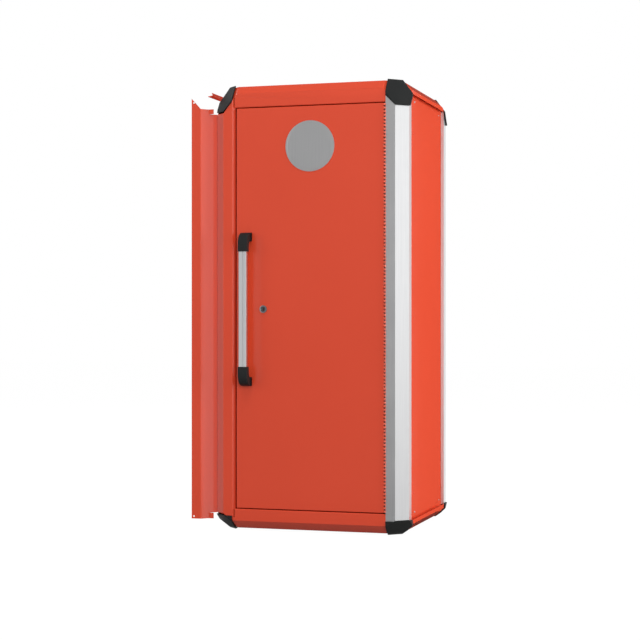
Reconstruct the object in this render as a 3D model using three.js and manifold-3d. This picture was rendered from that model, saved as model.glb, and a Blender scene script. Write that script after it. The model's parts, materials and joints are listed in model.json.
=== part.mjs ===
// Tool chest side locker: a sheet-steel cabinet with one inset door on a continuous hinge.
// Millimetres, +Z up, the front faces -Y. The drawing's own zero is the left front edge of the
// door opening at the height of the sheet-steel bottom. The finished group is moved so that the
// origin lies under the middle of the whole object's box.
import * as THREE from "three";
import { ConvexGeometry } from "three/addons/geometries/ConvexGeometry.js";
import { mergeVertices } from "three/addons/utils/BufferGeometryUtils.js";
import Module from "manifold-3d";

// Driving sizes of the cabinet
const CASE_HEIGHT = 1106;
const CASE_DEPTH = 470;
const OPENING_WIDTH = 386.5;
const SILL_HEIGHT = 49.6;
const HEADER_HEIGHT = 55;
const EDGE_CHAMFER = 20;
const LEFT_STRIP = 9.7;
const LEFT_FACET = 24;
const TRIM_LAND = 23.8;
const TRIM_FACET = 28;
const TRIM_PROUD = 8.3;
const TRIM_WALL = 2.5;
const PAN_LIP = 9;
const SHEET = 1.5;
const SEAT = 0.3;
const PANEL_FLANGE = 22;

// Frame round the door
const FRAME_BEVEL = 6.7;
const RETURN_SETBACK = 1.5;
const RETURN_LIP = 14;
const STOP_ROOM = 2;
const STOP_WIDTH = 12;
const POST_DEPTH = 34;
const POST_FLANGE_GAP = 3.3;

// Corner caps
const CORNER_CUT = 76;
const CORNER_RISE = 0.75;
const CORNER_RISE_BASE = 1.4;
const CAP_WALL = 3.7;
const CAP_DROP = 63;
const CAP_FLAT = 14;
const CAP_BASE_RISE = 32;
const FOOT_REACH = 8;

// Wing and rail that cover the joint to the neighbouring chest
const WING_SETBACK = 36.2;
const WING_FLANGE = 24;
const WING_TAB = 40;
const WING_BOTTOM = 21;
const WING_TOP_GAP = 54;
const WING_MITRE = 26.5;
const WING_NOTCH_START = 15.8;
const WING_NOTCH_TOP = 12;
const WING_NOTCH_BOTTOM = 14;
const WING_EAR = 13;
const WING_HOLE = 4.5;
const WING_HOLE_EDGE = 6;
const RAIL_START = 47;
const RAIL_MITRE = 58;
const RAIL_REAR_GAP = 66;
const RAIL_TAB = 26;
const RAIL_FOLD_DROP = 14;
const RAIL_REACH = 19.5;
const RAIL_FLANGE = 14.5;
const RAIL_SAG = 2.2;
const RAIL_LIP = 6;
const RAIL_LIP_LEAN = 3.3;

// Door
const DOOR_GAP = 2;
const DOOR_DEPTH = 28;
const LINER_DEPTH = 12;

// Continuous hinge
const HINGE_BARREL = 5.5;
const HINGE_PIN = 2.4;
const HINGE_BORE_GAP = 0.3;
const HINGE_LEAF = 1.2;
const HINGE_LEAF_WIDTH = 24;
const HINGE_SPREAD = 4.4;
const HINGE_PROUD = 2.2;
const KNUCKLE_LENGTH = 17;
const KNUCKLE_GAP = 0.4;
const BARREL_SIDES = 8;
const BORE_SIDES = 6;

// Pull handle
const HANDLE_X = 29.5;
const HANDLE_BOTTOM = 357;
const HANDLE_LENGTH = 381.5;
const HANDLE_PROUD = 36;
const HANDLE_BAR_WIDTH = 20;
const HANDLE_BAR_DEPTH = 12;
const HANDLE_GROOVE = 3;
const HANDLE_GROOVE_DEPTH = 2;
const HANDLE_GROOVE_SHIFT = 1.5;
const BRACKET_LENGTH = 48;
const BRACKET_WIDTH = 24.6;
const BRACKET_FOOT = 22;
const BRACKET_FOOT_WIDTH = 28.6;
const BRACKET_FOOT_THICK = 5;
const BRACKET_WALL = 2.5;
const SOCKET_DEPTH = 12;

// Lock with its two bolts
const LOCK_X = 73;
const LOCK_Z = 548;
const LOCK_BEZEL = 19;
const LOCK_BEZEL_THICK = 2.6;
const LOCK_BODY = 16;
const LOCK_BODY_PROUD = 2;
const LOCK_PLUG = 11.4;
const LOCK_PLUG_GAP = 0.6;
const LOCK_TAIL = 8;
const LOCK_NUT_WIDTH = 24;
const LOCK_NUT_THICK = 5;
const KEYWAY_WIDTH = 1.6;
const KEYWAY_HEIGHT = 7;
const KEYWAY_DEPTH = 6;
const CAM_REACH = 20;
const CAM_WIDTH = 12;
const CAM_THICK = 2;
const BOLT_OFFSET = 16;
const BOLT_WIDTH = 8;
const BOLT_THICK = 3;
const BOLT_END_GAP = 8;
const BOLT_OVERLAP = 6;
const BOLT_CLEARANCE = 0.4;
const GUIDE_LENGTH = 14;
const GUIDE_FLANGE = 7;
const GUIDE_SHEET = 1.5;
const GUIDE_NEAR = 70;
const GUIDE_FAR = 60;
const SCREW_HEAD = 10;
const SCREW_HEAD_THICK = 2.1;

// Catch and stops
const CATCH_X = 180;
const CATCH_WIDTH = 46;
const CATCH_DEPTH = 14;
const CATCH_DROP = 19;
const STRIKE_WIDTH = 40;
const STRIKE_HEIGHT = 14;
const STRIKE_THICK = 1.2;
const BUMPER_WIDTH = 9;
const BUMPER_INSET = 150;

// Shelves and what carries them
const FLOOR_FRONT_GAP = 8.5;
const SHELF_FRONT = 62;
const SHELF_REAR_GAP = 34;
const SHELF_SHEET = 1.2;
const SHELF_FLANGE = 25;
const SHELF_HEM = 10;
const STANDARD_FRONT = 110;
const STANDARD_REAR_GAP = 80;
const STANDARD_WIDTH = 16;
const STANDARD_THICK = 2;
const STANDARD_BOTTOM = 70;
const STANDARD_TOP_GAP = 76;
const SLOT_PITCH = 50;
const SLOT_FIRST = 30;
const SLOT_WIDTH = 7;
const SLOT_HEIGHT = 12;
const SHELF_SLOTS = [5, 11];
const CLIP_SHEET = 1.5;
const CLIP_PLAY = 0.5;
const CLIP_LEDGE = 11;
const CLIP_DROP = 14;
const CLIP_TONGUE_GAP = 0.4;
const CLIP_TONGUE_HEIGHT = 6;

// Facets of small round pieces
const ROUND_SIDES = 16;
const SMALL_SIDES = 12;
const HEX_SIDES = 6;
const ELBOW_STEPS = 5;

// Places worked out from the sizes above
const LEFT_BEND = -(LEFT_STRIP + TRIM_LAND);
const LEFT = LEFT_BEND - LEFT_FACET;
const FRAME_EDGE = FRAME_BEVEL - LEFT_STRIP;
const TRIM_BEND = OPENING_WIDTH + TRIM_LAND;
const RIGHT = TRIM_BEND + TRIM_FACET;
const PANEL = RIGHT - TRIM_PROUD;
const HEADER = CASE_HEIGHT - HEADER_HEIGHT;
const PAN_TOP_EDGE = CASE_HEIGHT - EDGE_CHAMFER - PAN_LIP;
const PAN_BOTTOM_EDGE = EDGE_CHAMFER + PAN_LIP;
const DIAGONAL = Math.SQRT2;
const MITRE = Math.tan(Math.PI / 8);
const FAR = CASE_HEIGHT + CASE_DEPTH;

const HINGE_X = OPENING_WIDTH - HINGE_SPREAD / 2;
const HINGE_Y = -HINGE_PROUD;
const DOOR_LEFT = DOOR_GAP;
const DOOR_RIGHT = OPENING_WIDTH - HINGE_SPREAD;
const DOOR_BOTTOM = SILL_HEIGHT + DOOR_GAP;
const DOOR_TOP = HEADER - DOOR_GAP;
const RETURN_DEPTH = DOOR_DEPTH - RETURN_SETBACK;
const STOP_DEPTH = DOOR_DEPTH + STOP_ROOM;
const FLOOR_FRONT = DOOR_DEPTH + FLOOR_FRONT_GAP;
const BACK_FACE = CASE_DEPTH - TRIM_WALL - SEAT;
const FLANGE_REAR = BACK_FACE - SHEET - SEAT;
const WING_TOP = CASE_HEIGHT - WING_TOP_GAP;
const STANDARD_TOP = CASE_HEIGHT - STANDARD_TOP_GAP;

const wasm = await Module();
wasm.setup();

// Geometry helpers

/** A box between two corners. */
function box(x0, x1, y0, y1, z0, z1) {
  const geometry = new THREE.BoxGeometry(x1 - x0, y1 - y0, z1 - z0);
  return geometry.translate((x0 + x1) / 2, (y0 + y1) / 2, (z0 + z1) / 2);
}

/** A flat outline with holes, pushed out along its own normal. */
function push(outline, depth, holes = []) {
  const shape = new THREE.Shape(outline.map(([u, v]) => new THREE.Vector2(u, v)));
  for (const hole of holes) {
    shape.holes.push(new THREE.Path(hole.map(([u, v]) => new THREE.Vector2(u, v))));
  }
  return new THREE.ExtrudeGeometry(shape, { depth, bevelEnabled: false, steps: 1 });
}

/** An outline drawn in plan (x, y), standing between two heights. */
function planPrism(outline, z0, z1, holes = []) {
  return push(outline, z1 - z0, holes).translate(0, 0, z0);
}

/** An outline drawn in front view (x, z), running between two depths. */
function frontPrism(outline, y0, y1, holes = []) {
  return push(outline, y1 - y0, holes).rotateX(Math.PI / 2).translate(0, y1, 0);
}

/** An outline drawn in side view (y, z), running between two widths. */
function sidePrism(outline, x0, x1, holes = []) {
  const across = new THREE.Matrix4().makeBasis(
    new THREE.Vector3(0, 1, 0),
    new THREE.Vector3(0, 0, 1),
    new THREE.Vector3(1, 0, 0),
  );
  return push(outline, x1 - x0, holes).applyMatrix4(across).translate(x0, 0, 0);
}

/** A regular polygon round a point, with a corner at the start angle. */
function polygon(u, v, radius, sides, start = Math.PI / sides) {
  return Array.from({ length: sides }, (_, i) => {
    const angle = start + (2 * Math.PI * i) / sides;
    return [u + radius * Math.cos(angle), v + radius * Math.sin(angle)];
  });
}

/** A bar with a polygon section that points to the back, between two depths. */
function roundBar(x, z, diameter, y0, y1, sides = ROUND_SIDES) {
  return frontPrism(polygon(x, z, diameter / 2, sides), y0, y1);
}

/** The outline of a bent sheet: a path along one face, thickened to the left of its direction. */
function bentSheet(path, thickness) {
  const normals = path.slice(1).map(([u, v], i) => {
    const run = new THREE.Vector2(u - path[i][0], v - path[i][1]).normalize();
    return new THREE.Vector2(-run.y, run.x);
  });
  const inner = path.map(([u, v], i) => {
    const before = normals[Math.max(i - 1, 0)];
    const after = normals[Math.min(i, normals.length - 1)];
    const step = before.clone().add(after).multiplyScalar(thickness / (1 + before.dot(after)));
    return [u + step.x, v + step.y];
  });
  return [...path, ...inner.reverse()];
}

/** A closed three.js geometry as a solid that can be joined and cut. */
function solid(geometry) {
  geometry.deleteAttribute("normal");
  geometry.deleteAttribute("uv");
  const merged = mergeVertices(geometry);
  const vertProperties = new Float32Array(merged.attributes.position.array);
  const triVerts = new Uint32Array(merged.index.array);
  return new wasm.Manifold(new wasm.Mesh({ numProp: 3, vertProperties, triVerts }));
}

/** A joined or cut solid as a three.js geometry again. */
function geometryOf(body) {
  const mesh = body.getMesh();
  const geometry = new THREE.BufferGeometry();
  geometry.setAttribute("position", new THREE.BufferAttribute(mesh.vertProperties, 3));
  geometry.setIndex(new THREE.BufferAttribute(mesh.triVerts, 1));
  return geometry;
}

/** The first geometry with the others joined on. */
function join(...geometries) {
  return geometries.map(solid).reduce((whole, piece) => whole.add(piece));
}

/** The plan outline of the cabinet, an octagon, moved inwards by an inset. */
function planOutline(inset) {
  const slant = inset * DIAGONAL;
  const front = inset;
  const rear = CASE_DEPTH - inset;
  const left = LEFT + inset;
  const right = RIGHT - inset;
  const frontLeft = LEFT_BEND + slant;
  const frontRight = TRIM_BEND - slant;
  const rearRight = TRIM_BEND + CASE_DEPTH - slant;
  const rearLeft = LEFT_BEND - CASE_DEPTH + slant;
  return [
    [frontLeft - front, front],
    [frontRight + front, front],
    [right, right - frontRight],
    [right, rearRight - right],
    [rearRight - rear, rear],
    [rearLeft + rear, rear],
    [left, left - rearLeft],
    [left, frontLeft - left],
  ];
}

/** Cuts a body back to the eight flat corners, grown by a margin. */
function trimCorners(body, margin) {
  const cuts = [];
  for (const [sideX, x] of [[-1, LEFT], [1, RIGHT]]) {
    for (const [sideY, y] of [[-1, 0], [1, CASE_DEPTH]]) {
      cuts.push({ outward: [sideX, sideY, CORNER_RISE], corner: [x, y, CASE_HEIGHT] });
      cuts.push({ outward: [sideX, sideY, -CORNER_RISE_BASE], corner: [x, y, 0] });
    }
  }
  return cuts.reduce((whole, { outward, corner }) => {
    const normal = new THREE.Vector3(...outward);
    const length = normal.length();
    const reach = (normal.dot(new THREE.Vector3(...corner)) - CORNER_CUT) / length + margin;
    return whole.trimByPlane(normal.negate().toArray(), -reach);
  }, body);
}

/** The outer form, grown by a margin: chamfered round top and bottom, with eight flat corners. */
function envelope(margin) {
  const ease = margin * MITRE;
  const side = planOutline(-margin);
  const cover = planOutline(EDGE_CHAMFER - ease);
  const shoulder = EDGE_CHAMFER - ease;
  const rings = [
    [cover, -margin],
    [side, shoulder],
    [side, CASE_HEIGHT - shoulder],
    [cover, CASE_HEIGHT + margin],
  ];
  const points = rings.flatMap(([ring, z]) => ring.map(([x, y]) => new THREE.Vector3(x, y, z)));
  return trimCorners(solid(new ConvexGeometry(points)), margin);
}

// The scene graph

const locker = new THREE.Group();

/** The finishes of the pieces. */
const PAINT = { color: 0xd34f3a, roughness: 0.3, metalness: 0.0 };
const ALUMINIUM = { color: 0xc2c3c5, roughness: 0.35, metalness: 1.0 };
const STEEL = { color: 0xb4b5b8, roughness: 0.4, metalness: 1.0 };
const CHROME = { color: 0xd6d7d9, roughness: 0.15, metalness: 1.0 };
const BLACK_PLASTIC = { color: 0x333433, roughness: 0.55, metalness: 0.0 };
const RUBBER = { color: 0x1e1e1e, roughness: 0.8, metalness: 0.0 };

/** Adds one named piece to the locker. */
function addPiece(name, shape, finish) {
  const geometry = shape.isBufferGeometry ? shape : geometryOf(shape);
  const mesh = new THREE.Mesh(geometry, new THREE.MeshStandardMaterial(finish));
  mesh.name = name;
  locker.add(mesh);
}

/** Top and bottom pans: a shell with chamfered edges, whose front apron frames the door opening. */
function addPans() {
  const shell = envelope(0).subtract(envelope(-SHEET));
  const wide = [LEFT - FAR, RIGHT + FAR, -FAR, CASE_DEPTH + FAR];
  const x0 = FRAME_EDGE + SEAT;
  const x1 = OPENING_WIDTH - SEAT;

  const topApron = sidePrism(
    bentSheet(
      [
        [0, PAN_TOP_EDGE + SHEET],
        [0, HEADER],
        [RETURN_DEPTH, HEADER],
        [RETURN_DEPTH, HEADER + RETURN_LIP],
      ],
      SHEET,
    ),
    x0,
    x1,
  );
  const topShell = shell.intersect(solid(box(...wide, PAN_TOP_EDGE, CASE_HEIGHT + FAR)));
  addPiece("top_panel", topShell.add(solid(topApron)), PAINT);

  const sillApron = sidePrism(
    bentSheet(
      [
        [RETURN_DEPTH, SILL_HEIGHT - RETURN_LIP],
        [RETURN_DEPTH, SILL_HEIGHT],
        [0, SILL_HEIGHT],
        [0, PAN_BOTTOM_EDGE - SHEET],
      ],
      SHEET,
    ),
    x0,
    x1,
  );
  const bottomShell = shell.intersect(solid(box(...wide, -FAR, PAN_BOTTOM_EDGE)));
  addPiece("bottom_panel", bottomShell.add(solid(sillApron)), PAINT);
}

/** The bent and flat sheets between the two pans. */
function addWalls() {
  const low = PAN_BOTTOM_EDGE + SEAT;
  const high = PAN_TOP_EDGE - SEAT;
  const tuckLow = EDGE_CHAMFER + SEAT;
  const tuckHigh = CASE_HEIGHT - EDGE_CHAMFER - SEAT;

  const leftPath = [
    [LEFT_BEND + TRIM_LAND, CASE_DEPTH],
    [LEFT_BEND, CASE_DEPTH],
    [LEFT, CASE_DEPTH - LEFT_FACET],
    [LEFT, LEFT_FACET],
    [LEFT_BEND, 0],
    [-LEFT_STRIP, 0],
    [FRAME_EDGE, FRAME_BEVEL],
    [FRAME_EDGE, STOP_DEPTH],
    [STOP_WIDTH, STOP_DEPTH],
  ];
  const leftSheet = solid(planPrism(bentSheet(leftPath, SHEET), low, high));
  addPiece("left_side_panel", trimCorners(leftSheet, 0), PAINT);

  const slantRear = TRIM_BEND + CASE_DEPTH - (TRIM_WALL + SEAT) * DIAGONAL;
  const slantEnd = slantRear - FLANGE_REAR;
  const rightPath = [
    [PANEL - PANEL_FLANGE, POST_DEPTH + SEAT],
    [PANEL, POST_DEPTH + SEAT],
    [PANEL, slantRear - PANEL],
    [slantEnd, FLANGE_REAR],
    [slantEnd - PANEL_FLANGE, FLANGE_REAR],
  ];
  const inner = -SHEET - SEAT;
  const rightSheet = solid(planPrism(bentSheet(rightPath, SHEET), tuckLow, tuckHigh));
  addPiece("right_side_panel", trimCorners(rightSheet, inner), PAINT);

  const back = box(LEFT_BEND + SHEET, slantEnd - SHEET, BACK_FACE - SHEET, BACK_FACE, tuckLow, tuckHigh);
  addPiece("back_panel", trimCorners(solid(back), inner), PAINT);

  const postFront = TRIM_WALL + SEAT;
  const postPath = [
    [PANEL - SHEET - SEAT, POST_DEPTH],
    [OPENING_WIDTH, POST_DEPTH],
    [OPENING_WIDTH, postFront],
    [TRIM_BEND - POST_FLANGE_GAP, postFront],
  ];
  const post = solid(planPrism(bentSheet(postPath, SHEET), low, high));
  addPiece("hinge_post", trimCorners(post, inner), PAINT);
}

/** Extruded corner trims on the two right-hand corners. */
function addTrims() {
  const low = PAN_BOTTOM_EDGE + SEAT;
  const high = PAN_TOP_EDGE - SEAT;
  const lipEnd = PANEL + SEAT;
  const sideEnd = TRIM_FACET + TRIM_LAND;
  const front = [
    [OPENING_WIDTH, 0],
    [TRIM_BEND, 0],
    [RIGHT, TRIM_FACET],
    [RIGHT, sideEnd],
    [lipEnd, sideEnd],
  ];
  const rear = front.map(([x, y]) => [x, CASE_DEPTH - y]).reverse();
  for (const [name, path] of [["front_right_trim", front], ["rear_right_trim", rear]]) {
    addPiece(name, trimCorners(solid(planPrism(bentSheet(path, TRIM_WALL), low, high)), 0), ALUMINIUM);
  }
}

/** Moulded three-way caps over the eight corners; the lower four are the feet. */
function addCorners() {
  const shell = envelope(SEAT + CAP_WALL).subtract(envelope(SEAT));
  const mid = CASE_HEIGHT / 2;
  const drop = CASE_HEIGHT - CAP_DROP;
  const corners = [
    { name: "front_right", sideX: 1, sideY: -1, facet: TRIM_FACET },
    { name: "rear_right", sideX: 1, sideY: 1, facet: TRIM_FACET },
    { name: "front_left", sideX: -1, sideY: -1, facet: LEFT_FACET },
    { name: "rear_left", sideX: -1, sideY: 1, facet: LEFT_FACET },
  ];
  for (const { name, sideX, sideY, facet } of corners) {
    const edgeX = sideX > 0 ? RIGHT : LEFT;
    const edgeY = sideY > 0 ? CASE_DEPTH : 0;
    const x = edgeX - sideX * (facet + TRIM_LAND);
    const y = edgeY - sideY * (facet + TRIM_LAND);
    const column = (room) => {
      const reach = (EDGE_CHAMFER + CAP_FLAT + room) * DIAGONAL + TRIM_FACET;
      const setback = reach - facet - TRIM_LAND;
      const plan = [
        [x, edgeY + sideY * FAR],
        [x, edgeY - sideY * setback],
        [edgeX - sideX * setback, y],
        [edgeX + sideX * FAR, y],
        [edgeX + sideX * FAR, edgeY + sideY * FAR],
      ];
      return solid(planPrism(plan, -FAR, FAR));
    };
    const below = (bend, side) => [
      [bend + side * FAR, -FAR],
      [bend + side * FAR, drop],
      [bend, drop],
      [bend - side * FAR, drop + FAR],
      [bend - side * FAR, -FAR],
    ];
    const top = column(0).intersect(solid(box(-FAR, FAR, -FAR, FAR, drop, FAR)));
    const cap = shell
      .intersect(top)
      .subtract(solid(frontPrism(below(edgeX - sideX * facet, sideX), -FAR, FAR)))
      .subtract(solid(sidePrism(below(edgeY - sideY * facet, sideY), -FAR, FAR)));
    addPiece(`top_${name}_cap`, cap, BLACK_PLASTIC);
    const base = column(FOOT_REACH).intersect(solid(box(-FAR, FAR, -FAR, FAR, -mid, CAP_BASE_RISE)));
    addPiece(`bottom_${name}_foot`, shell.intersect(base), BLACK_PLASTIC);
  }
}

/** Bent wing that closes the corner to the neighbouring chest, and the rail along the top left edge. */
function addWingAndRail() {
  const tabX = LEFT - SEAT;
  const frontX = tabX - WING_SETBACK;
  const tipX = frontX - WING_FLANGE;
  const path = [
    [tipX, 0],
    [frontX, 0],
    [tabX, WING_SETBACK],
    [tabX, WING_SETBACK + WING_TAB],
  ];
  const height = WING_TOP + WING_MITRE;
  const sheet = solid(planPrism(bentSheet(path, SHEET), WING_BOTTOM, height));
  const notchX = frontX + WING_NOTCH_START;
  const upper = [
    [tipX, height],
    [frontX, WING_TOP],
    [notchX, WING_TOP],
    [notchX, WING_TOP - WING_NOTCH_TOP],
    [FAR, WING_TOP - WING_NOTCH_TOP],
    [FAR, FAR],
    [tipX, FAR],
  ];
  const lower = [
    [notchX, WING_BOTTOM - FAR],
    [FAR, WING_BOTTOM - FAR],
    [FAR, WING_BOTTOM + WING_NOTCH_BOTTOM],
    [notchX, WING_BOTTOM + WING_NOTCH_BOTTOM],
  ];
  const earPath = [
    [notchX - SHEET, WING_NOTCH_START],
    [notchX + WING_EAR, WING_NOTCH_START],
  ];
  const earSheet = bentSheet(earPath, SHEET);
  const ears = join(
    planPrism(earSheet, WING_BOTTOM, WING_BOTTOM + WING_NOTCH_BOTTOM),
    planPrism(earSheet, WING_TOP - WING_NOTCH_TOP, WING_TOP),
  );
  const holeX = tipX + WING_HOLE_EDGE;
  const holes = [WING_BOTTOM + WING_HOLE_EDGE, height - WING_HOLE_EDGE - WING_HOLE].map((z) =>
    solid(roundBar(holeX, z, WING_HOLE, -SHEET, 2 * SHEET, SMALL_SIDES)),
  );
  const cuts = [solid(frontPrism(upper, -FAR, FAR)), solid(frontPrism(lower, -FAR, FAR)), ...holes];
  addPiece("mounting_wing", cuts.reduce((whole, cut) => whole.subtract(cut), sheet).add(ears), PAINT);

  const foldX = tabX - RAIL_REACH;
  const foldZ = CASE_HEIGHT - RAIL_FOLD_DROP;
  const webZ = foldZ - RAIL_REACH;
  const railEnd = CASE_DEPTH - RAIL_REAR_GAP;
  const railPath = [
    [tabX, webZ - RAIL_TAB],
    [tabX, webZ],
    [foldX, foldZ],
    [foldX - RAIL_FLANGE, foldZ - RAIL_SAG],
  ];
  const lipPath = [
    [foldX, foldZ - SHEET / 2],
    [foldX - RAIL_LIP_LEAN, foldZ + RAIL_LIP],
  ];
  const rail = join(
    frontPrism(bentSheet(railPath, SHEET), RAIL_START, railEnd),
    frontPrism(bentSheet(lipPath, SHEET), RAIL_START, railEnd),
  );
  const mitre = [
    [foldX, RAIL_START - FAR],
    [FAR, RAIL_START - FAR],
    [FAR, RAIL_START + RAIL_MITRE],
    [tabX, RAIL_START + RAIL_MITRE],
    [foldX, RAIL_START],
  ];
  addPiece("top_mounting_rail", rail.subtract(solid(planPrism(mitre, -FAR, FAR))), PAINT);
  return tipX;
}

/** One leaf of the continuous hinge: a flat strip with every second knuckle. */
function hingeLeaf(side, first) {
  const radius = HINGE_BARREL / 2;
  const bore = HINGE_PIN / 2 + HINGE_BORE_GAP;
  const boreCorner = bore / Math.cos(Math.PI / BORE_SIDES);
  const outerFace = side * (HINGE_SPREAD / 2 - SEAT);
  const innerFace = outerFace - side * HINGE_LEAF;
  const stripStart = radius + SEAT;
  const stripEnd = HINGE_PROUD + HINGE_LEAF_WIDTH;
  const length = DOOR_TOP - DOOR_BOTTOM;
  const count = Math.floor(length / KNUCKLE_LENGTH);
  const pitch = length / count;

  const x0 = HINGE_X + Math.min(outerFace, innerFace);
  const x1 = HINGE_X + Math.max(outerFace, innerFace);
  const strip = box(x0, x1, HINGE_Y + stripStart, HINGE_Y + stripEnd, DOOR_BOTTOM, DOOR_TOP);

  const startAngle = Math.acos(outerFace / radius);
  const endAngle = Math.acos(innerFace / radius);
  const sweep = side > 0 ? -(2 * Math.PI - (endAngle - startAngle)) : 2 * Math.PI - (startAngle - endAngle);
  const roll = Array.from({ length: BARREL_SIDES + 1 }, (_, i) => {
    const angle = startAngle + (sweep * i) / BARREL_SIDES;
    return [HINGE_X + radius * Math.cos(angle), HINGE_Y + radius * Math.sin(angle)];
  });
  const root = HINGE_Y + stripStart + HINGE_LEAF;
  const outline = [[HINGE_X + outerFace, root], ...roll, [HINGE_X + innerFace, root]];
  const hole = polygon(HINGE_X, HINGE_Y, boreCorner, BORE_SIDES);

  let leaf = solid(strip);
  for (let i = first; i < count; i += 2) {
    const low = DOOR_BOTTOM + i * pitch + KNUCKLE_GAP / 2;
    const knuckle = planPrism(outline, low, low + pitch - KNUCKLE_GAP, [hole]);
    leaf = leaf.add(solid(knuckle));
  }
  return leaf;
}

/** The continuous hinge: two leaves with interleaved knuckles on one long pin. */
function addHinge() {
  addPiece("hinge_frame_leaf", hingeLeaf(1, 0), STEEL);
  addPiece("hinge_door_leaf", hingeLeaf(-1, 1), STEEL);
  const pin = planPrism(polygon(HINGE_X, HINGE_Y, HINGE_PIN / 2, BARREL_SIDES), DOOR_BOTTOM, DOOR_TOP);
  addPiece("hinge_pin", pin, STEEL);
}

/** Door: an outer pan, an inner pan nested in it, and the hole for the lock through both. */
function addDoor() {
  const lockHole = solid(roundBar(LOCK_X, LOCK_Z, LOCK_BODY + 2 * SEAT, -FAR, FAR));
  const skin = solid(box(DOOR_LEFT, DOOR_RIGHT, 0, DOOR_DEPTH, DOOR_BOTTOM, DOOR_TOP));
  const hollow = box(
    DOOR_LEFT + SHEET,
    DOOR_RIGHT - SHEET,
    SHEET,
    DOOR_DEPTH + SHEET,
    DOOR_BOTTOM + SHEET,
    DOOR_TOP - SHEET,
  );
  addPiece("door_skin", skin.subtract(solid(hollow)).subtract(lockHole), PAINT);

  const inset = SHEET + SEAT;
  const nested = [
    DOOR_LEFT + inset,
    DOOR_RIGHT - inset,
    DOOR_DEPTH - LINER_DEPTH,
    DOOR_DEPTH,
    DOOR_BOTTOM + inset,
    DOOR_TOP - inset,
  ];
  const cavity = box(
    nested[0] + SHEET,
    nested[1] - SHEET,
    nested[2] - SHEET,
    nested[3] - SHEET,
    nested[4] + SHEET,
    nested[5] - SHEET,
  );
  addPiece("door_inner_panel", solid(box(...nested)).subtract(solid(cavity)).subtract(lockHole), PAINT);
}

/** Section of the handle bar in plan, grown by a margin, with its long groove in front. */
function barSection(margin, grooved) {
  const left = HANDLE_X - HANDLE_BAR_WIDTH / 2 - margin;
  const right = HANDLE_X + HANDLE_BAR_WIDTH / 2 + margin;
  const front = -HANDLE_PROUD + BRACKET_WALL - margin;
  const back = front + HANDLE_BAR_DEPTH + 2 * margin;
  const grooveLeft = HANDLE_X + HANDLE_GROOVE_SHIFT - HANDLE_GROOVE / 2;
  const groove = [
    [grooveLeft, front],
    [grooveLeft, front + HANDLE_GROOVE_DEPTH],
    [grooveLeft + HANDLE_GROOVE, front + HANDLE_GROOVE_DEPTH],
    [grooveLeft + HANDLE_GROOVE, front],
  ];
  return [[left, front], ...(grooved ? groove : []), [right, front], [right, back], [left, back]];
}

/** Pull handle: a grooved bar whose ends sit in two moulded brackets. */
function addHandle() {
  const top = HANDLE_BOTTOM + HANDLE_LENGTH;
  const barLow = HANDLE_BOTTOM + BRACKET_LENGTH - SOCKET_DEPTH;
  const barHigh = top - BRACKET_LENGTH + SOCKET_DEPTH;
  addPiece("handle_bar", planPrism(barSection(0, true), barLow, barHigh), ALUMINIUM);

  const pocket = solid(planPrism(barSection(SEAT, false), barLow - SEAT, barHigh + SEAT));
  const armBack = -HANDLE_PROUD + HANDLE_BAR_DEPTH + 2 * BRACKET_WALL;
  const foot = -SEAT;
  const elbow = new THREE.Path();
  elbow.moveTo(foot, 0);
  elbow.lineTo(foot - BRACKET_FOOT_THICK, 0);
  elbow.quadraticCurveTo(-HANDLE_PROUD, 0, -HANDLE_PROUD, HANDLE_PROUD);
  elbow.lineTo(-HANDLE_PROUD, BRACKET_LENGTH);
  elbow.lineTo(armBack, BRACKET_LENGTH);
  elbow.lineTo(armBack, HANDLE_PROUD);
  elbow.quadraticCurveTo(armBack, BRACKET_FOOT, foot - BRACKET_FOOT_THICK, BRACKET_FOOT);
  elbow.lineTo(foot, BRACKET_FOOT);
  const side = elbow.getPoints(ELBOW_STEPS).map((point) => [point.x, point.y]);
  const half = BRACKET_WIDTH / 2;
  const footHalf = BRACKET_FOOT_WIDTH / 2;
  const ends = [
    { name: "handle_lower_bracket", place: (z) => HANDLE_BOTTOM + z },
    { name: "handle_upper_bracket", place: (z) => top - z },
  ];
  for (const { name, place } of ends) {
    const arm = sidePrism(side.map(([y, z]) => [y, place(z)]), HANDLE_X - half, HANDLE_X + half);
    const z0 = Math.min(place(0), place(BRACKET_FOOT));
    const z1 = Math.max(place(0), place(BRACKET_FOOT));
    const pad = box(HANDLE_X - footHalf, HANDLE_X + footHalf, foot - BRACKET_FOOT_THICK, foot, z0, z1);
    addPiece(name, join(arm, pad).subtract(pocket), BLACK_PLASTIC);
  }
}

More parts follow.
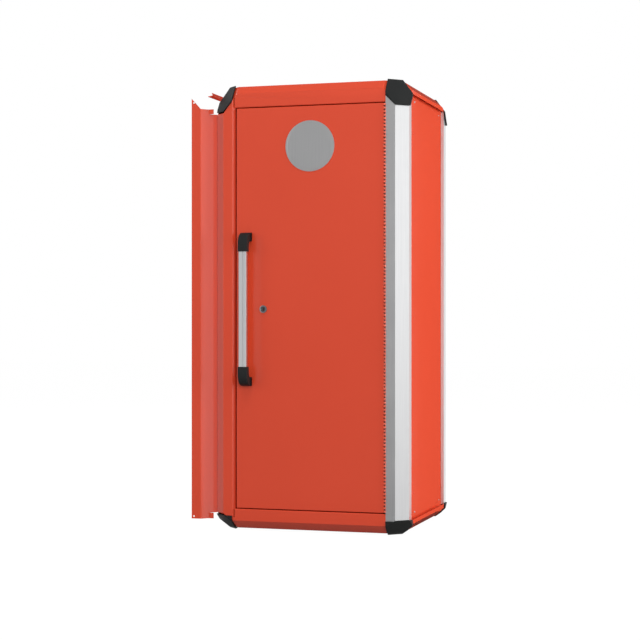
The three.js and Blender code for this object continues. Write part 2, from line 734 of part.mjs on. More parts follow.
/** Key lock: housing, nut, turning plug and cam, and the two bolts that the cam drives. */
function addLock() {
  const boltFront = DOOR_DEPTH + BOLT_CLEARANCE;
  const boltBack = boltFront + BOLT_THICK;
  const camFront = boltBack + BOLT_CLEARANCE;
  const camBack = camFront + CAM_THICK;

  const bezel = roundBar(LOCK_X, LOCK_Z, LOCK_BEZEL, -SEAT - LOCK_BEZEL_THICK, -SEAT);
  const bodyEnd = DOOR_DEPTH + LOCK_BODY_PROUD;
  const barrel = roundBar(LOCK_X, LOCK_Z, LOCK_BODY, -SEAT - LOCK_BEZEL_THICK / 2, bodyEnd);
  const bore = roundBar(LOCK_X, LOCK_Z, LOCK_PLUG + 2 * LOCK_PLUG_GAP, -FAR, FAR);
  addPiece("lock_housing", join(bezel, barrel).subtract(solid(bore)), CHROME);

  const nutOutline = polygon(LOCK_X, LOCK_Z, LOCK_NUT_WIDTH / 2, HEX_SIDES);
  const nutHole = polygon(LOCK_X, LOCK_Z, LOCK_BODY / 2 + SEAT, ROUND_SIDES);
  const nutFront = SHEET + SEAT;
  addPiece("lock_nut", frontPrism(nutOutline, nutFront, nutFront + LOCK_NUT_THICK, [nutHole]), STEEL);

  const plugFront = -SEAT - LOCK_BEZEL_THICK;
  const plugBack = camFront - SEAT;
  const plug = roundBar(LOCK_X, LOCK_Z, LOCK_PLUG, plugFront, plugBack);
  const tail = roundBar(LOCK_X, LOCK_Z, LOCK_TAIL, plugBack - SHEET, camBack + SEAT, SMALL_SIDES);
  const keyway = box(
    LOCK_X - KEYWAY_WIDTH / 2,
    LOCK_X + KEYWAY_WIDTH / 2,
    plugFront - SHEET,
    plugFront + KEYWAY_DEPTH,
    LOCK_Z - KEYWAY_HEIGHT / 2,
    LOCK_Z + KEYWAY_HEIGHT / 2,
  );
  addPiece("lock_plug", join(plug, tail).subtract(solid(keyway)), CHROME);

  const camHalf = CAM_WIDTH / 2;
  const camOutline = [
    [LOCK_X - CAM_REACH, LOCK_Z - camHalf],
    [LOCK_X + CAM_REACH, LOCK_Z - camHalf],
    [LOCK_X + CAM_REACH, LOCK_Z + camHalf],
    [LOCK_X - CAM_REACH, LOCK_Z + camHalf],
  ];
  const camHole = polygon(LOCK_X, LOCK_Z, LOCK_TAIL / 2 + SEAT, SMALL_SIDES);
  addPiece("lock_cam", frontPrism(camOutline, camFront, camBack, [camHole]), STEEL);
  const screwFront = camBack + 2 * SEAT;
  const screwBack = screwFront + SCREW_HEAD_THICK;
  const screw = roundBar(LOCK_X, LOCK_Z, SCREW_HEAD, screwFront, screwBack, HEX_SIDES);
  addPiece("lock_cam_screw", screw, STEEL);

  const bolts = [
    { name: "upper", upward: 1, outer: DOOR_TOP - BOLT_END_GAP },
    { name: "lower", upward: -1, outer: DOOR_BOTTOM + BOLT_END_GAP },
  ];
  for (const { name, upward, outer } of bolts) {
    const x = LOCK_X - upward * BOLT_OFFSET;
    const inner = LOCK_Z - upward * BOLT_OVERLAP;
    const low = Math.min(inner, outer);
    const high = Math.max(inner, outer);
    const half = BOLT_WIDTH / 2;
    addPiece(`${name}_lock_bolt`, box(x - half, x + half, boltFront, boltBack, low, high), STEEL);
    addBoltGuides(name, x, boltBack, inner, outer);
  }
}

/** Two bridges on the door's inner panel that a lock bolt slides through. */
function addBoltGuides(name, x, boltBack, inner, outer) {
  const gap = BOLT_WIDTH / 2 + BOLT_CLEARANCE;
  const wing = gap + GUIDE_SHEET + GUIDE_FLANGE;
  const face = DOOR_DEPTH + SEAT;
  const bridge = boltBack + BOLT_CLEARANCE;
  const path = [
    [x + wing, face],
    [x + gap, face],
    [x + gap, bridge],
    [x - gap, bridge],
    [x - gap, face],
    [x - wing, face],
  ];
  const outline = bentSheet(path, -GUIDE_SHEET);
  const outward = Math.sign(outer - inner);
  const places = { near: inner + outward * GUIDE_NEAR, far: outer - outward * GUIDE_FAR };
  for (const [end, z] of Object.entries(places)) {
    const low = z - GUIDE_LENGTH / 2;
    addPiece(`${name}_bolt_${end}_guide`, planPrism(outline, low, low + GUIDE_LENGTH), STEEL);
  }
}

/** Magnetic catch behind the header, its strike on the door, and the rubber stops of the door. */
function addCatch() {
  const strikeFront = DOOR_DEPTH + SEAT;
  const magnetFace = strikeFront + STRIKE_THICK + SEAT;
  const hangFace = RETURN_DEPTH + SEAT;
  const magnetLow = HEADER - CATCH_DROP;
  const hookLow = HEADER + SHEET + SEAT;
  const catchBack = magnetFace + CATCH_DEPTH;
  const catchTop = HEADER + RETURN_LIP;
  const outline = [
    [magnetFace, magnetLow],
    [catchBack, magnetLow],
    [catchBack, catchTop],
    [hangFace, catchTop],
    [hangFace, hookLow],
    [magnetFace, hookLow],
  ];
  const half = CATCH_WIDTH / 2;
  addPiece("magnetic_catch", sidePrism(outline, CATCH_X - half, CATCH_X + half), BLACK_PLASTIC);

  const strikeHalf = STRIKE_WIDTH / 2;
  const strikeTop = DOOR_TOP - SHEET - SEAT;
  const strike = box(
    CATCH_X - strikeHalf,
    CATCH_X + strikeHalf,
    strikeFront,
    strikeFront + STRIKE_THICK,
    strikeTop - STRIKE_HEIGHT,
    strikeTop,
  );
  addPiece("catch_strike", strike, STEEL);

  const bumperX = (DOOR_LEFT + STOP_WIDTH) / 2;
  const heights = [DOOR_BOTTOM + BUMPER_INSET, DOOR_TOP - BUMPER_INSET];
  heights.forEach((z, i) => {
    const bumper = roundBar(bumperX, z, BUMPER_WIDTH, DOOR_DEPTH + SEAT, STOP_DEPTH - SEAT, SMALL_SIDES);
    addPiece(`door_bumper_${i + 1}`, bumper, RUBBER);
  });
}

/** Raised floor of the compartment, standing in the bottom pan. */
function addFloor() {
  const top = SILL_HEIGHT - SHEET;
  const low = SHEET + SEAT;
  const inset = TRIM_WALL + SHEET + 2 * SEAT;
  const floorRear = FLANGE_REAR - SHEET - SEAT;
  const reach = solid(box(-FAR, PANEL - SHEET - SEAT, FLOOR_FRONT, floorRear, -FAR, FAR));
  const plate = solid(planPrism(planOutline(inset), top - SHEET, top)).intersect(reach);
  const rearLeg = CASE_DEPTH - EDGE_CHAMFER - inset;
  const front = box(0, OPENING_WIDTH, FLOOR_FRONT, FLOOR_FRONT + SHEET, low, top);
  const rear = box(0, OPENING_WIDTH, rearLeg - SHEET, rearLeg, low, top);
  const floor = plate.add(solid(front)).add(solid(rear));
  addPiece("floor_panel", floor, PAINT);
}

/** Height of the middle of a slot in the shelf standards. */
function slotHeight(index) {
  return STANDARD_BOTTOM + SLOT_FIRST + index * SLOT_PITCH;
}

/** Slotted standards, shelf clips and adjustable shelves. */
function addShelves() {
  const sides = [
    { name: "left", wall: LEFT + SHEET + SEAT, inward: 1 },
    { name: "right", wall: PANEL - SHEET - SEAT, inward: -1 },
  ];
  const rows = { front: STANDARD_FRONT, rear: CASE_DEPTH - STANDARD_REAR_GAP };
  const slotCount = Math.floor((STANDARD_TOP - STANDARD_BOTTOM - SLOT_FIRST) / SLOT_PITCH);
  const halfSlot = SLOT_WIDTH / 2;
  for (const { name, wall, inward } of sides) {
    const face = wall + inward * STANDARD_THICK;
    for (const [row, y] of Object.entries(rows)) {
      const outline = [
        [y - STANDARD_WIDTH / 2, STANDARD_BOTTOM],
        [y + STANDARD_WIDTH / 2, STANDARD_BOTTOM],
        [y + STANDARD_WIDTH / 2, STANDARD_TOP],
        [y - STANDARD_WIDTH / 2, STANDARD_TOP],
      ];
      const slots = Array.from({ length: slotCount }, (_, i) => {
        const low = slotHeight(i) - SLOT_HEIGHT / 2;
        return [
          [y - halfSlot, low],
          [y - halfSlot, low + SLOT_HEIGHT],
          [y + halfSlot, low + SLOT_HEIGHT],
          [y + halfSlot, low],
        ];
      });
      const x0 = Math.min(wall, face);
      const x1 = Math.max(wall, face);
      addPiece(`${name}_${row}_standard`, sidePrism(outline, x0, x1, slots), STEEL);
      SHELF_SLOTS.forEach((slot, i) => {
        addClip(`shelf_${i + 1}_${name}_${row}_clip`, face, inward, y, slotHeight(slot));
      });
    }
  }

  const clipReach = STANDARD_THICK + SEAT + CLIP_SHEET + SEAT;
  const shelfRear = CASE_DEPTH - SHELF_REAR_GAP;
  const shelfLeft = sides[0].wall + clipReach;
  const shelfRight = sides[1].wall - clipReach;
  SHELF_SLOTS.forEach((slot, i) => {
    const under = clipTop(slotHeight(slot)) + SEAT;
    const path = [
      [SHELF_FRONT + SHELF_HEM, under - SHELF_FLANGE],
      [SHELF_FRONT, under - SHELF_FLANGE],
      [SHELF_FRONT, under + SHELF_SHEET],
      [shelfRear, under + SHELF_SHEET],
      [shelfRear, under - SHELF_FLANGE],
    ];
    const shelf = sidePrism(bentSheet(path, -SHELF_SHEET), shelfLeft, shelfRight);
    addPiece(`shelf_${i + 1}`, shelf, PAINT);
  });
}

/** Height of the ledge of a clip whose tongue sits in the slot at a given height. */
function clipTop(slotZ) {
  return slotZ + CLIP_DROP / 2;
}

/** Shelf clip: a tongue in the slot, a tab down the standard and a ledge under the shelf. */
function addClip(name, face, inward, y, slotZ) {
  const top = clipTop(slotZ);
  const tongue = CLIP_TONGUE_HEIGHT / 2;
  const tongueEnd = CLIP_TONGUE_GAP - STANDARD_THICK - SEAT;
  const halfWidth = SLOT_WIDTH / 2 - CLIP_PLAY;
  const near = face + inward * SEAT;
  const across = (u) => near + inward * u;
  const outline = [
    [across(0), top],
    [across(CLIP_LEDGE), top],
    [across(CLIP_LEDGE), top - CLIP_SHEET],
    [across(CLIP_SHEET), top - CLIP_SHEET],
    [across(CLIP_SHEET), top - CLIP_DROP],
    [across(0), top - CLIP_DROP],
    [across(0), slotZ - tongue],
    [across(tongueEnd), slotZ - tongue],
    [across(tongueEnd), slotZ + tongue],
    [across(0), slotZ + tongue],
  ];
  addPiece(name, frontPrism(outline, y - halfWidth, y + halfWidth), STEEL);
}

addPans();
addWalls();
addTrims();
addCorners();
const wingTip = addWingAndRail();
addHinge();
addDoor();
addHandle();
addLock();
addCatch();
addFloor();
addShelves();

// The origin goes under the middle of the whole object's box
const capReach = SEAT + CAP_WALL;
const middleX = (wingTip + RIGHT + capReach) / 2;
const middleY = (-HANDLE_PROUD + CASE_DEPTH + capReach) / 2;
locker.position.set(-middleX, -middleY, capReach);

export default locker;
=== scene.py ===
"""Looks of a tool chest side locker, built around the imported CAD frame.

Every piece is in metres in the frame's own axes: +Z up, the door faces -Y.
"""
import json
import logging
import math
from dataclasses import dataclass, field
from enum import Enum
from typing import Callable, Iterable, Sequence

import bmesh
import bpy
from mathutils import Matrix, Vector


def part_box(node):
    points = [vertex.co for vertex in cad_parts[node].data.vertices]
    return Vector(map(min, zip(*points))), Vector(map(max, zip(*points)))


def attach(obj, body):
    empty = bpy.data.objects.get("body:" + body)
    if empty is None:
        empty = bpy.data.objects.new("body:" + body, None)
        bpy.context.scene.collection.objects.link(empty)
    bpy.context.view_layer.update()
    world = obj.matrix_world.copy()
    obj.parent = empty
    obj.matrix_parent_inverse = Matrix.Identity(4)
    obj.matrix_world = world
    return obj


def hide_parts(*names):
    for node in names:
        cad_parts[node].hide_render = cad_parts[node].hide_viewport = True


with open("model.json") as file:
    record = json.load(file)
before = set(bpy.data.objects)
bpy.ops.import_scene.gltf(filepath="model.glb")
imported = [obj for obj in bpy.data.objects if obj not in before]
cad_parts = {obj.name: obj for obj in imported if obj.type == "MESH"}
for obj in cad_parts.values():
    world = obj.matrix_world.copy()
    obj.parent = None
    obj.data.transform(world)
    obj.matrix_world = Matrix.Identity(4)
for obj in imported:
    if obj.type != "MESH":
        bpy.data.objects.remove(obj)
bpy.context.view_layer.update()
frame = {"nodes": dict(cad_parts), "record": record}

log = logging.getLogger("side_locker")
MM = 0.001
SHARP_EDGE = math.radians(38)
Point = tuple[float, float, float]
Profile = Sequence[tuple[float, float]]


class Body(Enum):
    """The moving bodies of the frame."""

    CABINET = "cabinet"
    DOOR = "door"
    LOCK = "lock_cylinder"
    UPPER_BOLT = "upper_bolt"
    LOWER_BOLT = "lower_bolt"


class Slot(Enum):
    """The record's material slots."""

    PAINT = "orange_paint"
    ALUMINIUM = "satin_aluminium"
    PLASTIC = "black_plastic"
    STEEL = "plated_steel"
    HINGE = "painted_hinge"
    CHROME = "chrome_lock"
    RUBBER = "black_rubber"


class Axis(Enum):
    """The axis that a turned piece is spun about."""

    Y = "Y"
    Z = "Z"


# Shader building blocks


@dataclass
class Sheet:
    """A node tree with short ways to add nodes and links."""

    tree: bpy.types.NodeTree

    def add(self, kind: str, **values: object) -> bpy.types.Node:
        """Adds a node and sets its properties.

        Args:
            kind: The node's type name.
            values: Properties of the node by name.

        Returns:
            The new node.
        """
        node = self.tree.nodes.new(kind)
        for key, value in values.items():
            setattr(node, key, value)
        return node

    def link(self, start: bpy.types.NodeSocket, end: bpy.types.NodeSocket) -> None:
        """Links an output to an input."""
        self.tree.links.new(start, end)

    def spread(self, value: bpy.types.NodeSocket, low: float, high: float) -> bpy.types.NodeSocket:
        """Maps a value from 0 to 1 onto a range.

        Args:
            value: The socket to map.
            low: Result at 0.
            high: Result at 1.

        Returns:
            The mapped socket.
        """
        node = self.add("ShaderNodeMapRange")
        node.inputs["To Min"].default_value = low
        node.inputs["To Max"].default_value = high
        self.link(value, node.inputs["Value"])
        return node.outputs["Result"]

    def tones(self, mask: bpy.types.NodeSocket, dark: Point, light: Point) -> bpy.types.NodeSocket:
        """Mixes two colours by a mask.

        Args:
            mask: The socket that chooses between them.
            dark: Colour at 0.
            light: Colour at 1.

        Returns:
            The mixed colour socket.
        """
        ramp = self.add("ShaderNodeValToRGB")
        ramp.color_ramp.elements[0].color = (*dark, 1.0)
        ramp.color_ramp.elements[1].color = (*light, 1.0)
        self.link(mask, ramp.inputs["Fac"])
        return ramp.outputs["Color"]

    def bump(self, height: bpy.types.NodeSocket, strength: float, depth: float) -> bpy.types.NodeSocket:
        """Turns a height into a normal.

        Args:
            height: The height socket.
            strength: Strength of the bump.
            depth: Depth of the bump in metres.

        Returns:
            The normal socket.
        """
        node = self.add("ShaderNodeBump")
        node.inputs["Strength"].default_value = strength
        node.inputs["Distance"].default_value = depth
        self.link(height, node.inputs["Height"])
        return node.outputs["Normal"]


def effect_group(name: str, inputs: dict[str, float], fill: Callable) -> bpy.types.NodeTree:
    """Builds a shader group with a Vector input, named sizes and a Height and a Mask output.

    Args:
        name: Name of the group.
        inputs: Named sizes with their defaults.
        fill: Adds the inner nodes and returns the height and the mask socket.

    Returns:
        The group's node tree.
    """
    tree = bpy.data.node_groups.new(name, "ShaderNodeTree")
    tree.interface.new_socket("Vector", in_out="INPUT", socket_type="NodeSocketVector")
    for label, value in inputs.items():
        socket = tree.interface.new_socket(label, in_out="INPUT", socket_type="NodeSocketFloat")
        socket.default_value = value
    for label in ("Height", "Mask"):
        tree.interface.new_socket(label, in_out="OUTPUT", socket_type="NodeSocketFloat")
    sheet = Sheet(tree)
    entry = sheet.add("NodeGroupInput")
    leave = sheet.add("NodeGroupOutput")
    height, mask = fill(sheet, entry)
    sheet.link(height, leave.inputs["Height"])
    sheet.link(mask, leave.inputs["Mask"])
    return tree


def grain_nodes(sheet: Sheet, entry: bpy.types.Node) -> tuple:
    """Even grain, as on powder coat or moulded plastic; returns its height and mask sockets."""
    noise = sheet.add("ShaderNodeTexNoise", noise_dimensions="3D")
    sheet.link(entry.outputs["Vector"], noise.inputs["Vector"])
    sheet.link(entry.outputs["Scale"], noise.inputs["Scale"])
    sheet.link(entry.outputs["Detail"], noise.inputs["Detail"])
    return noise.outputs["Fac"], sheet.spread(noise.outputs["Fac"], -0.5, 1.5)


def streak_nodes(sheet: Sheet, entry: bpy.types.Node) -> tuple:
    """Fine lines along Z, as on drawn or brushed metal; returns their height and mask sockets."""
    across = sheet.add("ShaderNodeCombineXYZ")
    for label in ("X", "Y"):
        sheet.link(entry.outputs["Across"], across.inputs[label])
    sheet.link(entry.outputs["Along"], across.inputs["Z"])
    stretch = sheet.add("ShaderNodeVectorMath", operation="MULTIPLY")
    sheet.link(entry.outputs["Vector"], stretch.inputs[0])
    sheet.link(across.outputs["Vector"], stretch.inputs[1])
    noise = sheet.add("ShaderNodeTexNoise", noise_dimensions="3D")
    noise.inputs["Scale"].default_value = 1.0
    noise.inputs["Detail"].default_value = 3.0
    sheet.link(stretch.outputs["Vector"], noise.inputs["Vector"])
    return noise.outputs["Fac"], sheet.spread(noise.outputs["Fac"], -0.4, 1.4)


GRAIN = effect_group("even_grain", {"Scale": 400.0, "Detail": 2.0}, grain_nodes)
STREAKS = effect_group("drawn_streaks", {"Across": 900.0, "Along": 8.0}, streak_nodes)


@dataclass(frozen=True)
class Finish:
    """What every finish has: two near tones, a range of roughness and a fixed gloss."""

    name: str
    dark: Point
    light: Point
    roughness: tuple[float, float]
    metallic: float = 0.0
    specular: float = 0.5
    coat: float = 0.0
    bump: float = 0.1
    depth: float = 0.1 * MM

    def start(self) -> tuple[bpy.types.Material, Sheet, bpy.types.Node, bpy.types.NodeSocket]:
        """Makes the material with its shader's fixed values.

        Returns:
            The material, its sheet, its Principled shader and the Object coordinate socket.
        """
        material = bpy.data.materials.new(self.name)
        material.use_nodes = True
        sheet = Sheet(material.node_tree)
        shader = material.node_tree.nodes["Principled BSDF"]
        shader.inputs["Metallic"].default_value = self.metallic
        shader.inputs["Specular IOR Level"].default_value = self.specular
        shader.inputs["Coat Weight"].default_value = self.coat
        shader.inputs["Coat Roughness"].default_value = 0.06
        place = sheet.add("ShaderNodeTexCoord").outputs["Object"]
        return material, sheet, shader, place

    def effect(self, sheet: Sheet, tree: bpy.types.NodeTree, place: bpy.types.NodeSocket,
               **sizes: float) -> bpy.types.Node:
        """Places a shared effect in the material.

        Args:
            sheet: The material's sheet.
            tree: The effect's group.
            place: The coordinate socket.
            sizes: The group's named inputs.

        Returns:
            The group node.
        """
        node = sheet.add("ShaderNodeGroup", node_tree=tree)
        sheet.link(place, node.inputs["Vector"])
        for label, value in sizes.items():
            node.inputs[label].default_value = value
        return node

    def dress(self, sheet: Sheet, shader: bpy.types.Node, colour: bpy.types.Node,
              gloss: bpy.types.Node, relief: bpy.types.Node) -> None:
        """Feeds the shader's colour, roughness and normal from effect nodes."""
        tone = sheet.tones(colour.outputs["Mask"], self.dark, self.light)
        sheet.link(tone, shader.inputs["Base Color"])
        rough = sheet.spread(gloss.outputs["Mask"], *self.roughness)
        sheet.link(rough, shader.inputs["Roughness"])
        normal = sheet.bump(relief.outputs["Height"], self.bump, self.depth)
        sheet.link(normal, shader.inputs["Normal"])


@dataclass(frozen=True)
class GrainedFinish(Finish):
    """Powder coat, moulded plastic or rubber: cloudy tone and an even grain."""

    cloud_scale: float = 3.0
    gloss_scale: float = 18.0
    grain_scale: float = 420.0

    def material(self) -> bpy.types.Material:
        """Builds the material."""
        material, sheet, shader, place = self.start()
        cloud = self.effect(sheet, GRAIN, place, Scale=self.cloud_scale, Detail=3.0)
        gloss = self.effect(sheet, GRAIN, place, Scale=self.gloss_scale, Detail=2.0)
        grain = self.effect(sheet, GRAIN, place, Scale=self.grain_scale, Detail=1.0)
        self.dress(sheet, shader, cloud, gloss, grain)
        return material


@dataclass(frozen=True)
class DrawnFinish(Finish):
    """Drawn, brushed or plated metal: fine lines along Z over a cloudy gloss."""

    across: float = 900.0
    along: float = 8.0
    gloss_scale: float = 25.0

    def material(self) -> bpy.types.Material:
        """Builds the material."""
        material, sheet, shader, place = self.start()
        lines = self.effect(sheet, STREAKS, place, Across=self.across, Along=self.along)
        gloss = self.effect(sheet, GRAIN, place, Scale=self.gloss_scale, Detail=2.0)
        self.dress(sheet, shader, lines, gloss, lines)
        return material


PAINT = GrainedFinish(
    "orange_red_powder_coat", (0.715, 0.067, 0.026), (0.745, 0.072, 0.029), (0.14, 0.19),
    specular=0.56, bump=0.06, depth=0.15 * MM,
).material()
# A lighter copy of the door's orange-red paint: the hinge knuckles are brightened to stand in for their highlights, a
# painted highlight.
HINGE_PAINT_LIGHTENED_AS_HIGHLIGHT = GrainedFinish(
    "orange_red_paint_lightened_as_knuckle_highlight", (0.830, 0.112, 0.056), (0.890, 0.128, 0.064), (0.18, 0.26),
    specular=0.50, bump=0.08, depth=0.15 * MM,
).material()
ALUMINIUM = DrawnFinish(
    "satin_anodised_aluminium", (0.70, 0.705, 0.712), (0.78, 0.782, 0.788), (0.36, 0.44),
    metallic=1.0, bump=0.03, depth=0.05 * MM,
).material()
PLASTIC = GrainedFinish(
    "black_moulded_plastic", (0.018, 0.019, 0.019), (0.023, 0.024, 0.024), (0.46, 0.60),
    specular=0.12, bump=0.25, depth=0.12 * MM, cloud_scale=9.0, grain_scale=1400.0,
).material()
STEEL = DrawnFinish(
    "zinc_plated_steel", (0.52, 0.53, 0.55), (0.66, 0.67, 0.68), (0.24, 0.40),
    metallic=1.0, bump=0.05, depth=0.05 * MM, across=500.0, along=60.0,
).material()
CHROME = DrawnFinish(
    "polished_lock_face", (0.40, 0.40, 0.42), (0.50, 0.50, 0.52), (0.10, 0.18),
    metallic=1.0, bump=0.02, depth=0.03 * MM, across=1400.0, along=1400.0,
).material()
# Near-black colour for the hinge pin, so that the gaps between the knuckles show dark: painted shade in the knuckle
# gaps.
PIN_DARKENED_AS_GAP_SHADE = DrawnFinish(
    "hinge_pin_darkened_as_gap_shade", (0.030, 0.028, 0.028), (0.050, 0.047, 0.046), (0.34, 0.46),
    metallic=1.0, bump=0.03, depth=0.03 * MM,
).material()
DARK_PLUG = DrawnFinish(
    "dark_lock_plug", (0.10, 0.10, 0.105), (0.16, 0.16, 0.165), (0.18, 0.28),
    metallic=1.0, bump=0.02, depth=0.03 * MM, across=1400.0, along=1400.0,
).material()
RUBBER = GrainedFinish(
    "black_rubber", (0.012, 0.012, 0.012), (0.018, 0.018, 0.018), (0.70, 0.85),
    specular=0.3, bump=0.3, depth=0.15 * MM, cloud_scale=40.0, grain_scale=900.0,
).material()

SLOT_MATERIALS = {
    Slot.PAINT: PAINT,
    Slot.ALUMINIUM: ALUMINIUM,
    Slot.PLASTIC: PLASTIC,
    Slot.STEEL: STEEL,
    # The hinge slot gets the lightened orange-red, which paints the knuckles' highlights.
    Slot.HINGE: HINGE_PAINT_LIGHTENED_AS_HIGHLIGHT,
    Slot.CHROME: CHROME,
    Slot.RUBBER: RUBBER,
}


# Mesh building blocks


def link_piece(name: str, mesh: bpy.types.Mesh) -> bpy.types.Object:
    """Makes an object of a mesh and puts it in the scene."""
    piece = bpy.data.objects.new(name, mesh)
    bpy.context.scene.collection.objects.link(piece)
    return piece


def to_mesh(name: str, bm: bmesh.types.BMesh) -> bpy.types.Mesh:
    """Turns a bmesh into a mesh that is smooth but for its sharp edges, and frees it.

    Args:
        name: Name of the mesh.
        bm: The bmesh.

    Returns:
        The new mesh.
    """
    for face in bm.faces:
        face.smooth = True
    for edge in bm.edges:
        edge.smooth = edge.calc_face_angle(0.0) < SHARP_EDGE
    mesh = bpy.data.meshes.new(name)
    bm.to_mesh(mesh)
    bm.free()
    return mesh


def settle(piece: bpy.types.Object) -> bpy.types.Object:
    """Bakes a piece's modifiers into a plain mesh and removes them.

    Args:
        piece: The object to settle.

    Returns:
        The same object.
    """
    graph = bpy.context.evaluated_depsgraph_get()
    mesh = bpy.data.meshes.new_from_object(piece.evaluated_get(graph))
    piece.modifiers.clear()
    old = piece.data
    piece.data = mesh
    bpy.data.meshes.remove(old)
    return piece


def even_normals(piece: bpy.types.Object) -> bpy.types.Object:
    """Weights the normals by face area, so that flats stay flat between rounded edges."""
    weighted = piece.modifiers.new("even_normals", "WEIGHTED_NORMAL")
    weighted.keep_sharp = True
    weighted.weight = 90
    return settle(piece)


def assign(piece: bpy.types.Object, material: bpy.types.Material) -> None:
    """Gives a piece one material."""
    piece.data.materials.clear()
    piece.data.materials.append(material)


def turned(name: str, profile: Profile, axis: Axis, centre: Point, sides: int) -> bpy.types.Object:
    """Spins a closed profile about an axis through a point.

    Args:
        name: Name of the piece.
        profile: Points as (radius, place along the axis); radius 0 makes a pole.
        axis: The axis.
        centre: The point that the axis passes through.
        sides: Number of sides.

    Returns:
        The new object.
    """
    bm = bmesh.new()
    rings = []
    for radius, along in profile:
        count = 1 if radius == 0 else sides
        ring = []
        for i in range(count):
            angle = 2 * math.pi * i / sides
            u, v = radius * math.cos(angle), radius * math.sin(angle)
            local = (u, along, v) if axis is Axis.Y else (u, v, along)
            ring.append(bm.verts.new(Vector(centre) + Vector(local)))
        rings.append(ring)
    closed = profile[0][0] != 0 or profile[-1][0] != 0
    pairs = list(zip(rings, rings[1:] + rings[:1])) if closed else list(zip(rings, rings[1:]))
    for first, second in pairs:
        for i in range(sides):
            j = (i + 1) % sides
            corners = [first[i % len(first)], first[j % len(first)]]
            corners += [second[j % len(second)], second[i % len(second)]]
            unique = list(dict.fromkeys(corners))
            if len(unique) > 2:
                bm.faces.new(unique)
    bmesh.ops.recalc_face_normals(bm, faces=bm.faces)
    return link_piece(name, to_mesh(name, bm))


def block(bm: bmesh.types.BMesh, low: Point, high: Point) -> None:
    """Adds a box between two corners to a bmesh."""
    size = Vector(high) - Vector(low)
    middle = (Vector(high) + Vector(low)) / 2
    place = Matrix.Translation(middle) @ Matrix.Diagonal((*size, 1.0))
    bmesh.ops.create_cube(bm, size=1.0, matrix=place)


@dataclass(frozen=True)
class Softening:
    """How the edges of a CAD solid are rounded."""

    bend: float
    sheet: float
    raw: float
    thin: float = 4.5 * MM
    bend_segments: int = 3
    raw_segments: int = 2
    smallest_bend: float = math.radians(30)
    smallest_raw: float = math.radians(50)

    def width(self, face: bmesh.types.BMFace) -> float:
        """The width of a face, if it is taken as a strip."""
        return 2 * face.calc_area() / max(face.calc_perimeter(), 1e-9)

    def is_thin(self, edge: bmesh.types.BMEdge) -> bool:
        """Whether an edge borders the cut face of a sheet."""
        return any(self.width(face) < self.thin for face in edge.link_faces)

    def bends(self, bm: bmesh.types.BMesh, convex: bool) -> dict[int, list[bmesh.types.BMEdge]]:
        """Finds the bend lines by their angle.

        Args:
            bm: The solid.
            convex: Whether to look for outer or inner bend lines.

        Returns:
            The edges by angle in whole degrees.
        """
        found: dict[int, list[bmesh.types.BMEdge]] = {}
        for edge in bm.edges:
            if not edge.is_manifold or edge.is_convex != convex or self.is_thin(edge):
                continue
            angle = edge.calc_face_angle(0.0)
            if angle > self.smallest_bend:
                found.setdefault(round(math.degrees(angle)), []).append(edge)
        return found

    def round_off(self, bm: bmesh.types.BMesh, edges: list, offset: float, segments: int) -> None:
        """Rounds a set of edges."""
        bmesh.ops.bevel(
            bm, geom=edges, offset=offset, offset_type="OFFSET", segments=segments,
            profile=0.5, affect="EDGES", clamp_overlap=True,
        )

    def apply(self, bm: bmesh.types.BMesh) -> None:
        """Rounds the bends by their radius and breaks the cut edges of the sheet."""
        for convex in (True, False):
            radius = self.bend if convex else self.bend - self.sheet
            if radius <= 0.2 * MM:
                continue
            for angle in sorted(self.bends(bm, convex), reverse=True):
                edges = self.bends(bm, convex).get(angle, [])
                if edges:
                    offset = radius * math.tan(math.radians(angle) / 2)
                    self.round_off(bm, edges, offset, self.bend_segments)
        raw = [
            edge for edge in bm.edges
            if edge.is_manifold and edge.is_convex and edge.calc_face_angle(0.0) > self.smallest_raw
        ]
        if raw and self.raw > 0:
            self.round_off(bm, raw, self.raw, self.raw_segments)


SHEET_METAL = Softening(bend=2.6 * MM, sheet=1.5 * MM, raw=0.3 * MM)
DOOR_METAL = Softening(bend=2.2 * MM, sheet=1.5 * MM, raw=0.3 * MM)
EXTRUSION = Softening(bend=1.4 * MM, sheet=2.5 * MM, raw=0.5 * MM, thin=3.2 * MM)
MOULDING = Softening(bend=2.0 * MM, sheet=3.7 * MM, raw=0.7 * MM, thin=5.0 * MM)
BRACKET = Softening(bend=2.6 * MM, sheet=2.5 * MM, raw=0.6 * MM, thin=2.8 * MM, bend_segments=4)
BAR = Softening(bend=1.6 * MM, sheet=1.0 * MM, raw=0.4 * MM, thin=2.6 * MM)
SMALL_METAL = Softening(bend=0.8 * MM, sheet=1.5 * MM, raw=0.25 * MM, thin=3.4 * MM, bend_segments=2)


def cad_copy(node: str) -> bmesh.types.BMesh:
    """Copies a CAD solid as a merged bmesh with whole flat faces.

    Args:
        node: Name of the CAD node.

    Returns:
        The bmesh.
    """
    bm = bmesh.new()
    bm.from_mesh(frame["nodes"][node].data)
    bmesh.ops.remove_doubles(bm, verts=bm.verts, dist=0.001 * MM)
    bmesh.ops.dissolve_limit(
        bm, angle_limit=math.radians(0.5), use_dissolve_boundaries=False,
        verts=bm.verts, edges=bm.edges,
    )
    return bm


def body_of_node(node: str) -> Body:
    """The body that a CAD node belongs to."""
    bodies = frame["record"]["behaviour"]["bodies"]
    return next(Body(name) for name, members in bodies.items() if node in members)


def slot_of_node(node: str) -> Slot:
    """The material slot that the record gives a CAD node."""
    return next(Slot(row["material_slot"]) for row in frame["record"]["subparts"] if row["node"] == node)


def enrol(piece: bpy.types.Object, body: Body, nodes: Iterable[str] = ()) -> bpy.types.Object:
    """Tells the frame what a finished piece is.

    Args:
        piece: The finished piece.
        body: The body that it rides on.
        nodes: The CAD nodes that it stands for.

    Returns:
        The same piece.
    """
    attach(piece, body.value)
    names = list(nodes)
    if names:
        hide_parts(*names)
    log.info("%s rides on %s, %d faces", piece.name, body.value, len(piece.data.polygons))
    return piece


